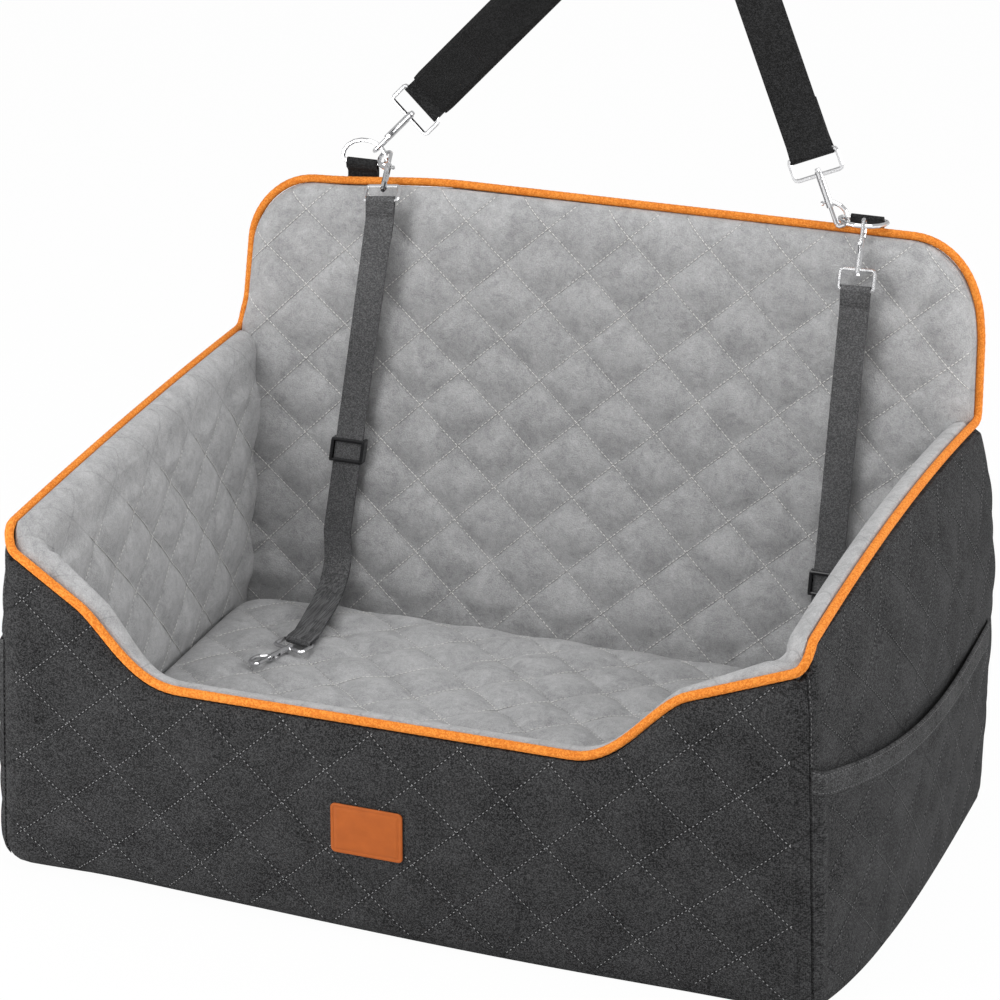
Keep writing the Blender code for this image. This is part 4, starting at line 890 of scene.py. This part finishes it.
def back_face(x, z):
    """Front of the quilted backrest, for a point of the unloaded panel."""
    inside = edge_distance(x, z) - BACK_INSET
    share = min(max(inside / BACK_ROLL_HEIGHT, 0.0), 1.0)
    roll = min(BACK_ROLL_DEPTH, back_thick(z) - 0.0057) * (1 - math.sqrt(1 - (1 - share) ** 2))
    flat = ease(inside, 0.004, 0.045)
    real = settle((x, 0.0, z))
    swell = BACK_PUFF * puff(*lattice(real.x, real.z), BACK_KNOT, BACK_STEP, 0.75)
    swell *= (0.35 + 0.65 * flat) * ease(inside, 0.0, 0.010) * ease(z, 0.085, 0.115)
    ripple = 0.0013 * noise.noise(Vector((x * 15, z * 15, 3))) * flat
    y = y_back(real.z) - back_thick(z) + roll - (swell - 0.25 * BACK_PUFF * flat) - ripple
    return Vector((real.x, y, real.z))


def edge_shares(count, crowd):
    """Shares from -1 to 1, closer together towards both ends."""
    shares = []
    for i in range(count + 1):
        t = -1 + 2 * i / count
        shares.append((1 - crowd) * t + crowd * math.sin(math.pi * t / 2))
    return shares


CORNER_STEPS = 26
heights = [FLOOR_Z, 0.060] + [0.080 + (0.440 - 0.080) * i / 150 for i in range(151)]
heights += [0.440 + (BACK_TOP - BACK_INSET - 0.440) * math.sin(math.pi * 0.5 * i / CORNER_STEPS)
            for i in range(1, CORNER_STEPS + 1)]
columns = edge_shares(290, 0.55)
rows, coords = [], []
for z in heights:
    half = back_half(z, BACK_INSET, 0.02)
    ring = [back_face(half * s, z) for s in columns]
    behind = 0.0005 if z > BACK_TOP - BACK_INSET - 0.0024 else CAP_DEPTH
    lip = 0.0005 if z > WALL_BACK_TOP + 0.003 else CAP_DEPTH
    inner = 1.0 - 0.0026 / half
    behind_ring = ((1.0 + 0.0016 / half, lip), (inner, lip), (inner - 0.001, behind), (0.5, behind),
                   (0.0, behind), (-0.5, behind), (0.001 - inner, behind), (-inner, lip),
                   (-1.0 - 0.0016 / half, lip))
    ring += [settle((half * share, y_back(z) - depth, z)) for share, depth in behind_ring]
    rows.append(ring)
    coords.append([lattice(p.x, p.z) for p in ring])
back_plush = plush_material("quilted_back_plush", PLUSH_DARK, PLUSH_LIGHT, knot=BACK_KNOT, step=BACK_STEP)
backrest = skin("backrest_quilted_lining", rows, coords)
dress(backrest, back_plush, "grey_plush", "back_lining", "back_foam", fill=0.7)
for sign, way, size in STITCH_WAYS:
    rows = []
    for run in diamond_lines(BACK_KNOT, (-0.345, 0.345), (PLUSH_QUILT_FOOT, BACK_TOP + 0.02),
                             lambda u, v: True, BACK_STEP, 0.0025, signs=(sign,)):
        line = []
        for u, v in run:
            x, z = lattice(u, v, -1)
            if edge_distance(x, z + sag(x, z)) > BACK_INSET + 0.0015:
                line.append(Vector((x, y_back(z) - back_thick(z), z)))
        rows.append(line)
    stitch_rows("backrest_" + way + "_thread", rows, pale_thread, backrest, front_out,
                length=size, radius=0.00050)

rear_cloth = cloth_material("quilted_rear_cloth", CHARCOAL_DARK, CHARCOAL_LIGHT, knot=BACK_KNOT,
                            step=BACK_STEP)
split_z = WALL_BACK_TOP - UNDER_PIPING - 0.0025


def rear_face(x, z, half):
    """Quilted outside of the rear cover, for a point of the unloaded panel."""
    near = ease(min(half - abs(x), BACK_TOP - UNDER_PIPING - z), 0.0, 0.016) * ease(z, 0.004, 0.020)
    swell = COVER_PUFF * puff(x, z, BACK_KNOT, BACK_STEP) * near
    return Vector((x, y_back(z) + swell + 0.0008 * noise.noise(Vector((x * 14, z * 14, 11))) * near, z))


heights = [0.0, 0.002, 0.004] + [0.006 + (split_z - 0.0075) * i / 96 for i in range(97)]
heights += [split_z + 0.001 + (BACK_TOP - 0.062 - split_z) * i / 40 for i in range(1, 41)]
heights += [BACK_TOP - 0.061 + (0.061 - UNDER_PIPING) * math.sin(math.pi * 0.5 * i / CORNER_STEPS)
            for i in range(1, CORNER_STEPS + 1)]
columns = edge_shares(220, 0.4)
rows, coords = [], []
for z in heights:
    low = z < split_z
    swell = bulge(("side", 0.0, 1), z / WALL_BACK_TOP) if low else 0.0
    swell -= foot(("side", 0.0, 1), z) if low else 0.0
    round_by = 0.010 + 0.9 * max(swell, 0.0)
    inset = round_by if low else UNDER_PIPING + 0.0010
    half = back_half(z, inset, 0.0) + swell
    ring = [settle(rear_face(half * s, z, half)) for s in columns]
    for hand in (1, -1):
        if low:
            side = []
            for degrees in (15, 30, 45, 60, 75, 90):
                angle = math.radians(degrees)
                side.append((round_by * (1 - math.sin(angle)), round_by * (1 - math.cos(angle))))
            side += [(0.0, back_thick(z)), (COVER_THICK, back_thick(z)), (COVER_THICK, round_by),
                     (round_by * 0.4, round_by * 0.5), (round_by, COVER_THICK)]
        else:
            lip = ((0.0003, 0.0003), (0.0, 0.0010), (0.0, 0.0020), (0.0, 0.0028), (0.0001, 0.0033),
                   (0.0003, 0.0037), (0.0004, 0.00385), (0.0006, 0.0039), (0.0007, 0.00395),
                   (0.0008, 0.0040), (0.0010, COVER_THICK))
            side = [(UNDER_PIPING + more, depth) for more, depth in lip]
        points = [settle((hand * (back_half(z, i, d) + swell), y_back(z) - d, z)) for i, d in side]
        ring += points if hand == 1 else points[::-1]
    rows.append(ring)
    coords.append([(p.x - (p.y - y_back(z)) * (1 if p.x > 0 else -1), p.z) for p in ring])
rear_cover = skin("backrest_rear_cover", rows, coords)
dress(rear_cover, rear_cloth, "charcoal_cloth", "back_cover", fill=0.3)
rows = []
for run in diamond_lines(BACK_KNOT, (-0.335, 0.335), (0.010, BACK_TOP - 0.012),
                         lambda u, v: edge_distance(u, v + sag(u, v)) > 0.014, BACK_STEP):
    rows.append([Vector((u, y_back(v), v)) for u, v in run])
stitch_rows("backrest_rear_thread", rows, grey_thread, rear_cover, -front_out)


# Piping. A cord in folded orange cloth, sewn into the rim all the way round the walls
# and over the top of the backrest, with faint puckers where the seam holds it.
def even_steps(path, pitch):
    """The same closed line with its points at even distances."""
    path = path + [path[0]]
    lengths = [0.0]
    for a, b in zip(path, path[1:]):
        lengths.append(lengths[-1] + (b - a).length)
    count = int(lengths[-1] / pitch)
    made, at = [], 0
    for i in range(count):
        want = lengths[-1] * i / count
        while lengths[at + 1] < want:
            at += 1
        share = (want - lengths[at]) / max(lengths[at + 1] - lengths[at], 1e-9)
        made.append(path[at].lerp(path[at + 1], share))
    return made


def closed_cord(name, path, radius, sides, pucker):
    """Round cord along a closed line, untwisted, with its length and girth as cloth UVs."""
    total = len(path)
    alongs = [(path[(i + 1) % total] - path[i - 1]).normalized() for i in range(total)]
    sideways = [Vector((0, 0, 1)).cross(alongs[0]).normalized()]
    for i in range(1, total + 1):
        along = alongs[i % total]
        sideways.append((sideways[-1] - along * sideways[-1].dot(along)).normalized())
    twist = sideways[-1].angle(sideways[0])
    if sideways[-1].cross(sideways[0]).dot(alongs[0]) < 0:
        twist = -twist
    rows, coords = [], []
    run = 0.0
    for i, point in enumerate(path):
        if i:
            run += (point - path[i - 1]).length
        first = sideways[i]
        second = alongs[i].cross(first)
        size = radius * (1.0 + pucker * math.sin(run * 2 * math.pi / PUCKER_PITCH))
        row = []
        for s in range(sides):
            angle = 2 * math.pi * s / sides + twist * i / total
            row.append(point + first * (size * math.cos(angle)) + second * (size * math.sin(angle)))
        rows.append(row)
        coords.append([(run, s / sides * 2 * math.pi * radius) for s in range(sides)])
    return skin(name, rows, coords, closed=True)


orange_cloth = cloth_material("orange_piping", (0.60, 0.150, 0.014), (0.93, 0.345, 0.062), threads=1100.0,
                              fleck_size=900.0, bump=0.25, roughness=0.75)
PIPING_INSET = 0.001
PIPING_STEP = 0.0022
PIPING_SIDES = 14
PUCKER = 0.025
PUCKER_PITCH = 0.0065
UPRIGHT_STEPS = 30
BEND_STEPS = 24
TOP_STEPS = 60
stations = side_stations(-1, 120)[:-1] + front_stations(300)[1:-1] + side_stations(1, 120)[:-1][::-1]
tops = [wall_point(p, rim_height(p), PIPING_INSET) for p in stations]
path = []
for i, top in enumerate(tops):
    along = (tops[min(i + 1, len(tops) - 1)] - tops[max(i - 1, 0)]).normalized()
    normal = (Vector((0, 0, 1)) - along * along.z).normalized()
    path.append(top - normal * PIPING_DROP)
turns = []
for hand in (1, -1):
    z = WALL_BACK_TOP - PIPING_DROP
    y = y_back(z) - PIPING_INSET
    turns.append(Vector((hand * (x_side(y, z) - PIPING_INSET), y, z)))
half = []
bottom, bend_z = WALL_BACK_TOP + 0.004, BACK_TOP - BACK_CORNER
for i in range(UPRIGHT_STEPS + 1):
    z = bottom + (bend_z - bottom) * i / UPRIGHT_STEPS
    y = y_back(z) - PIPING_INSET
    half.append(Vector((x_side(y, z) - PIPING_INSET * slope, y, z)))
bend = BACK_CORNER - PIPING_INSET
corner_x = half[-1].x - bend
for i in range(1, BEND_STEPS + 1):
    angle = math.pi * 0.5 * i / BEND_STEPS
    z = bend_z + bend * math.sin(angle)
    half.append(Vector((corner_x + bend * math.cos(angle), y_back(z) - PIPING_INSET, z)))
half += [Vector((corner_x * (1 - i / TOP_STEPS), half[-1].y, half[-1].z))
         for i in range(1, TOP_STEPS + 1)]
over = [settle(p) for p in half] + [settle((-p.x, p.y, p.z)) for p in half[-2::-1]]
path = even_steps(path + [turns[0]] + over + [turns[1]], PIPING_STEP)

# The whole line is smoothed a little, and its two turns beside the backrest much more.
for rounds, reach in ((3, 1.0), (16, 0.014)):
    for _ in range(rounds):
        smoothed = []
        for i, point in enumerate(path):
            near = min((point - t).length for t in turns) < reach
            middle = (path[i - 1] + path[(i + 1) % len(path)]) * 0.5
            smoothed.append(point.lerp(middle, 0.5) if near else point)
        path = smoothed
piping = closed_cord("edge_piping", path, PIPING_RADIUS, PIPING_SIDES, PUCKER)
dress(piping, orange_cloth, "orange_piping", "wall_piping", "backrest_piping")


# Base. A black coated cloth panel closes the underside, below a stiff board that keeps
# the box square; the floor inside is lined with the same plush as the walls.
base_cloth, tree, shader = new_material("base_cloth", roughness=0.8)
grain = speckle(tree, object_point(tree), 700.0)
tint(tree, shader, grain, (0.008, 0.008, 0.008), (0.035, 0.035, 0.036))
emboss(tree, shader, grain, 0.3, 0.0005)


def finish_solids(look, *names):
    """Give solids that are shown as they are their finish."""
    for name in names:
        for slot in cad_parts[name].material_slots:
            slot.material = look


def base_outline(z, inset):
    """Plan of a base layer, drawn in from the foot of the covers."""
    ring = []
    for hand in (-1, 1):
        side = [("side", i / 12, hand) for i in range(13)] + [("corner", i / 6, hand) for i in range(1, 7)]
        points = [wall_point(p, z, foot(p, z) + inset) for p in side]
        rear_y = y_back(z) - inset
        points.insert(0, Vector((hand * (x_side(rear_y, z) - inset - 0.004), rear_y, z)))
        ring.append(points)
    front = [("front", -0.28 + 0.56 * i / 14, 1) for i in range(15)]
    return ring[0] + [wall_point(p, z, foot(p, z) + inset) for p in front] + ring[1][::-1]


for name, slot, inset, low, high in (("base_panel", "base_cloth", 0.0046, 0.0, 0.003),
                                     ("base_board", "base_board", 0.0066, 0.0033, 0.0083)):
    outlines = [base_outline(low, inset), base_outline(low, inset), base_outline(high, inset)]
    slab = skin(name + "_cloth", outlines)
    dress(slab, base_cloth, slot, name)
plain_plush = plush_material("plain_plush", PLUSH_DARK, PLUSH_LIGHT)
finish_solids(plain_plush, "floor_lining")


# Seat cushion. A loose foam pad in crushed plush, crowned, drawn in along its edges
# and sewn through in diamonds, so that it swells between soft channels.
CUSHION_KNOT = (0.0, 0.0)
CUSHION_STEP = (0.0360, 0.0358)
CUSHION_EDGE = 0.0940
CUSHION_CROWN = 0.1005
CUSHION_CLEAR = 0.0012
CUSHION_TUCK = 0.011
CUSHION_CORNER = 0.012
CUSHION_PUFF = 0.0085
CUSHION_MIDDLE = 0.049
CUSHION_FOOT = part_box("seat_cushion")[0][2]
CUSHION_FRONT = y_front(CUSHION_FOOT) + wall_thick(CUSHION_FOOT) + CUSHION_CLEAR
CUSHION_REAR = y_back(CUSHION_FOOT) - back_thick(CUSHION_FOOT) - CUSHION_CLEAR
cushion_centre = (CUSHION_FRONT + CUSHION_REAR) * 0.5
cushion_reach = (CUSHION_REAR - CUSHION_FRONT) * 0.5


def cushion_point(u, v, tuck, z):
    """Point of the cushion's plan at shares u and v from its centre, drawn in by a tuck."""
    y = cushion_centre + v * (cushion_reach - tuck)
    half = x_side(y, CUSHION_MIDDLE) - wall_thick(CUSHION_MIDDLE) * slope - CUSHION_CLEAR - tuck
    corner = CUSHION_CORNER * (abs(u) ** 12) * (abs(v) ** 12)
    return Vector((u * (half - corner), y - math.copysign(corner, v), z))


def cushion_top(u, v):
    """Point of the cushion's crowned and quilted upper face."""
    dome = (1.0 - abs(u) ** 12) * (1.0 - abs(v) ** 10)
    z = CUSHION_EDGE + (CUSHION_CROWN - CUSHION_EDGE) * dome * (1.0 - 0.25 * (u * u + v * v))
    base = cushion_point(u, v, CUSHION_TUCK, z)
    swell = puff(base.x, base.y, CUSHION_KNOT, CUSHION_STEP, 0.45)
    folds = noise.noise(Vector((base.x * 22, base.y * 22, 5))) * 0.0016
    folds += noise.noise(Vector((base.x * 60, base.y * 60, 9))) * 0.0006
    base.z += (CUSHION_PUFF * swell + folds) * (0.15 + 0.85 * dome)
    return base


wide_steps, deep_steps = 210, 140
stride = deep_steps + 1
rows_u = edge_shares(wide_steps, 0.3)
rows_v = edge_shares(deep_steps, 0.3)
verts = [cushion_top(u, v) for u in rows_u for v in rows_v]
faces = [(i * stride + j, (i + 1) * stride + j, (i + 1) * stride + j + 1, i * stride + j + 1)
         for i in range(wide_steps) for j in range(deep_steps)]
border = [(i, 0) for i in range(wide_steps)] + [(wide_steps, j) for j in range(deep_steps)]
border += [(i, deep_steps) for i in range(wide_steps, 0, -1)] + [(0, j) for j in range(deep_steps, 0, -1)]
previous = [i * stride + j for i, j in border]
side_profile = [(0.0075, 0.0930), (0.0040, 0.0900), (0.0016, 0.0840), (0.0004, 0.0720), (0.0, 0.052),
                (0.0010, 0.034), (0.0035, 0.022), (0.0070, 0.015), (CUSHION_TUCK, CUSHION_FOOT)]
for tuck, z in side_profile:
    start = len(verts)
    verts += [cushion_point(rows_u[i], rows_v[j], tuck, z) for i, j in border]
    row = list(range(start, start + len(border)))
    for a in range(len(row)):
        b = (a + 1) % len(row)
        faces.append((previous[a], previous[b], row[b], row[a]))
    previous = row
faces.append(tuple(previous))
cushion = smooth_piece("seat_cushion_plush", verts, faces, [v.xy for v in verts])
cushion_plush = plush_material("crushed_plush", (0.19, 0.19, 0.195), (0.52, 0.52, 0.525),
                               knot=CUSHION_KNOT, step=CUSHION_STEP)
dress(cushion, cushion_plush, "grey_plush", "seat_cushion", fill=0.7)
rows = []
half_x = cushion_point(1, 0, CUSHION_TUCK, 0).x - 0.006
for run in diamond_lines(CUSHION_KNOT, (-half_x, half_x), (CUSHION_FRONT + 0.016, CUSHION_REAR - 0.016),
                         lambda u, v: True, CUSHION_STEP):
    line = []
    for x, y in run:
        v = (y - cushion_centre) / (cushion_reach - CUSHION_TUCK)
        half = cushion_point(1, v, CUSHION_TUCK, 0).x
        line.append(cushion_top(max(-1, min(1, x / half)), v))
    rows.append(line)
stitch_rows("cushion_thread", rows, pale_thread, cushion, Vector((0, 0, 1)),
            length=0.0034, radius=0.00042)


# Side pockets. A slip pocket of the same quilted cloth over the lower part of each side,
# held tight by an elastic that runs in a flat sewn casing along its slanting mouth.
POCKET_SAG = 0.0040
POCKET_CLEAR = 0.0006
POCKET_THICK = 0.0022
BINDING_HEIGHT = 0.020
POCKET_BEND = 0.93
POCKET_SEAM = 0.46
POCKET_RUN_ON = 0.022
NEEDLE_OUT = 0.022
POCKET_STEPS = 160
CASING_SECTION = ((1.0, 0.0), (0.96, -0.0004), (0.5, -0.0006), (0.06, 0.0), (0.0, 0.0010), (0.0, 0.0024),
                  (0.05, 0.0032), (0.12, 0.0028), (0.19, 0.0034), (0.5, 0.0038), (0.81, 0.0034),
                  (0.88, 0.0028), (0.96, 0.0031), (1.0, 0.0024))
casing_cloth = cloth_material("pocket_casing", (0.006, 0.006, 0.0063), (0.105, 0.105, 0.107))


def pocket_point(hand, share, height, extra):
    """Point of the pocket's sheet: share runs from the back end to the corner seam."""
    z = POCKET_BOTTOM + (pocket_top(share) - POCKET_BOTTOM) * height
    if share > POCKET_BEND:
        place = ("corner", POCKET_SEAM * (share - POCKET_BEND) / (1 - POCKET_BEND), hand)
    else:
        first, last = side_ends(z, 0.0)
        y = POCKET_BACK + (last - POCKET_BACK) * share / POCKET_BEND
        place = ("side", (y - first) / (last - first), hand)
    ends = ease(share, 0.0, 0.03) * ease(1.0 - share, 0.0, 0.05)
    lift = bulge(place, z / rim_height(place)) + POCKET_CLEAR + extra * (0.25 + 0.75 * ends)
    lift += height * (0.0010 + POCKET_SAG * max(math.sin(math.pi * share), 0.0) ** 1.5) * ends
    lift -= foot(place, z)
    return wall_point(place, z, -lift), cloth_u(place)


def on_pocket(hand, u, v):
    """Whether a place on a side's cloth lies on its pocket, clear of the casing and the ends."""
    y = wall_point(station_at(u, hand), v, 0.0).y
    share = POCKET_BEND * (y - POCKET_BACK) / (POCKET_FRONT - POCKET_RUN_ON - POCKET_BACK)
    return 0.01 < share < POCKET_BEND and v < pocket_top(share) - BINDING_HEIGHT - 0.001


for name, hand in SIDES:
    rows, coords = [], []
    for i in range(141):
        share = i / 140
        end = 1.0 - (BINDING_HEIGHT + 0.0003) / (pocket_top(share) - POCKET_BOTTOM)
        inside, outside, flat = [], [], []
        for j in range(61):
            height = end * j / 60
            point, u = pocket_point(hand, share, height, 0.0)
            calm = ease(share, 0.0, 0.04) * ease(1 - share, 0.0, 0.04) * ease(height, 0.0, 0.06)
            calm *= ease(end - height, 0.0, 0.05)
            swell = (COVER_PUFF * puff(u, point.z, FRONT_KNOT) +
                     0.0010 * noise.noise(Vector((share * 9 + hand, height * 4, 2)))) * calm
            inside.append(point)
            outside.append(pocket_point(hand, share, height, POCKET_THICK + swell)[0])
            flat.append((u, point.z))
        rows.append(inside + outside[::-1])
        coords.append(flat + flat[::-1])
    pocket = skin(name + "_slip_pocket", rows, coords)
    dress(pocket, cover_cloth, "charcoal_cloth", name + "_pocket")
    lines = [[wall_point(station_at(u, hand), v, -NEEDLE_OUT) for u, v in run]
             for run in diamond_lines(FRONT_KNOT, side_span(hand), (0.014, 0.20),
                                      lambda u, v: on_pocket(hand, u, v))]
    stitch_rows(name + "_pocket_thread", lines, dull_thread, pocket, outward(hand))
    rows, coords = [], []
    for i in range(POCKET_STEPS + 1):
        share = i / POCKET_STEPS
        tall = pocket_top(share) - POCKET_BOTTOM
        ring, flat = [], []
        for down, out in CASING_SECTION:
            pulled = 0.00022 * math.sin(share * 70 * math.pi) * (0.15 < down < 0.85) * (out > 0)
            point, u = pocket_point(hand, share, 1.0 - down * BINDING_HEIGHT / tall, out + pulled)
            ring.append(point)
            flat.append((u, point.z + 0.5 * out))
        rows.append(ring)
        coords.append(flat)
    casing = skin(name + "_pocket_casing", rows, coords)
    dress(casing, casing_cloth, "charcoal_cloth", name + "_pocket_binding")
    lines = []
    for down in (0.12, 0.88):
        line = []
        for i in range(POCKET_STEPS + 1):
            share = 0.01 + 0.98 * i / POCKET_STEPS
            height = 1.0 - down * BINDING_HEIGHT / (pocket_top(share) - POCKET_BOTTOM)
            line.append(pocket_point(hand, share, height, 0.004)[0])
        lines.append(line)
    stitch_rows(name + "_casing_thread", lines, dull_thread, casing, outward(hand))


# Label. A bare patch of orange-brown leather with a pressed border, sewn flat on the
# front panel.
half_wide = (LABEL["right"] - LABEL["left"]) / 2
half_tall = (LABEL["high"] - LABEL["low"]) / 2


def label_ring(shrink, lift):
    """Rounded outline of the label, drawn in by a step and lifted off the panel."""
    ring = []
    radius = max(0.0040 - shrink, 0.0008)
    for sx, sz, start in ((1, 1, 0), (-1, 1, 90), (-1, -1, 180), (1, -1, 270)):
        for i in range(7):
            angle = math.radians(start + 15 * i)
            x = LABEL_X + sx * (half_wide - shrink - radius) + radius * math.cos(angle)
            z = LABEL_Z + sz * (half_tall - shrink - radius) + radius * math.sin(angle)
            place = ("front", x, 1)
            ring.append(wall_point(place, z, -(bulge(place, z / rim_height(place)) + 0.0006 + lift)))
    return ring


levels = [(0.0004, 0.0), (0.0, 0.0004), (0.0, 0.0010), (0.0003, 0.0014), (0.0009, 0.0016), (0.0022, 0.0016),
          (0.0026, 0.00135), (0.0032, 0.00135), (0.0036, 0.0016), (0.0060, 0.00165)]
leather, tree, shader = new_material("label_leather", roughness=0.48, specular=0.25)
where = object_point(tree)
pebble = add_node(tree, "ShaderNodeTexVoronoi", {"Vector": where, "Scale": 1100.0})
tint(tree, shader, speckle(tree, where, 90.0, 4.0), (0.32, 0.072, 0.009), (0.46, 0.110, 0.015))
emboss(tree, shader, pebble.outputs["Distance"], 0.25, 0.0003)
dress(skin("leather_label", [label_ring(shrink, lift) for shrink, lift in levels]), leather, "label_leather",
      "label")


# Fittings. Plated D-rings and swivel bolt snaps, polished, with softly marked surfaces,
# and the two glossy black plastic sliders of the tethers.
chrome, tree, shader = new_material("polished_metal")
haze = speckle(tree, object_point(tree), 260.0, 3.0)
tree.links.new(rescale(tree, haze, to_min=0.10, to_max=0.24), shader.inputs["Roughness"])
tint(tree, shader, haze, (0.62, 0.62, 0.63), (0.82, 0.82, 0.83))
shader.inputs["Metallic"].default_value = 1.0
finish_solids(chrome, "left_d_ring", "right_d_ring")
for snap in ("carry_left", "carry_right", "left_tether_upper", "left_tether_lower", "right_tether_upper",
             "right_tether_lower"):
    finish_solids(chrome, snap + "_hook", snap + "_bolt", snap + "_eye")

black_plastic, tree, shader = new_material("black_plastic")
haze = speckle(tree, object_point(tree), 400.0)
tree.links.new(rescale(tree, haze, to_min=0.10, to_max=0.22), shader.inputs["Roughness"])
shader.inputs["Base Color"].default_value = (0.008, 0.008, 0.009, 1)
finish_solids(black_plastic, "left_tether_slider", "right_tether_slider")


# Straps. Polyester webbing: charcoal for the two tethers, black for the shoulder strap
# and for the tabs that hold the rings. The strap passes through a padded sleeve.
def simple_webbing(name, dark, light, scale):
    """Flat woven webbing, its threads counted across the strap and along its length."""
    made, tree, shader = new_material(name, roughness=0.8, specular=0.2)
    split = add_node(tree, "ShaderNodeSeparateXYZ", {0: object_point(tree)})
    flat = add_node(tree, "ShaderNodeCombineXYZ", {0: split.outputs[0], 1: split.outputs[2]})
    cloth = add_node(tree, "ShaderNodeGroup", {"Coordinates": flat.outputs[0], "Threads": scale,
                                               "Fleck Size": scale * 1.5}, node_tree=weave)
    tint(tree, shader, cloth.outputs["Shade"], dark, light)
    emboss(tree, shader, cloth.outputs["Height"], 0.4, 0.0006)
    return made


tether_cloth = simple_webbing("tether_webbing", (0.045, 0.045, 0.046), (0.160, 0.160, 0.164), 800.0)
carry_cloth = simple_webbing("carry_webbing", (0.003, 0.003, 0.003), (0.034, 0.034, 0.035), 700.0)
sleeve_cloth = simple_webbing("sleeve_cloth", (0.003, 0.003, 0.003), (0.022, 0.022, 0.0225), 900.0)
finish_solids(tether_cloth, "left_tether_webbing", "right_tether_webbing")
finish_solids(carry_cloth, "carry_webbing", "left_ring_tab", "right_ring_tab")
finish_solids(sleeve_cloth, "shoulder_pad")

black_thread = thread_material("black_thread", (0.012, 0.012, 0.012))
FOLD_STITCHES = (0.0150, 0.0175)
NEEDLE_STEP = 0.0005
for name in ("left_tether_webbing", "right_tether_webbing"):
    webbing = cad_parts[name]
    low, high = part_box(name)
    strap = surface_tree(webbing)
    rows = []
    for down in FOLD_STITCHES:
        row = []
        for i in range(int((high[0] - low[0]) / NEEDLE_STEP)):
            start = Vector((low[0] + NEEDLE_STEP * i, low[1] - 0.02, high[2] - down))
            hit = strap.ray_cast(start, -front_out)[0]
            if hit is not None:
                row.append(hit)
        rows.append(row[3:-3])
    stitch_rows(name + "_fold_thread", rows, black_thread, webbing, front_out,
                body=name, pitch=0.0030, length=0.0020, radius=0.00032)
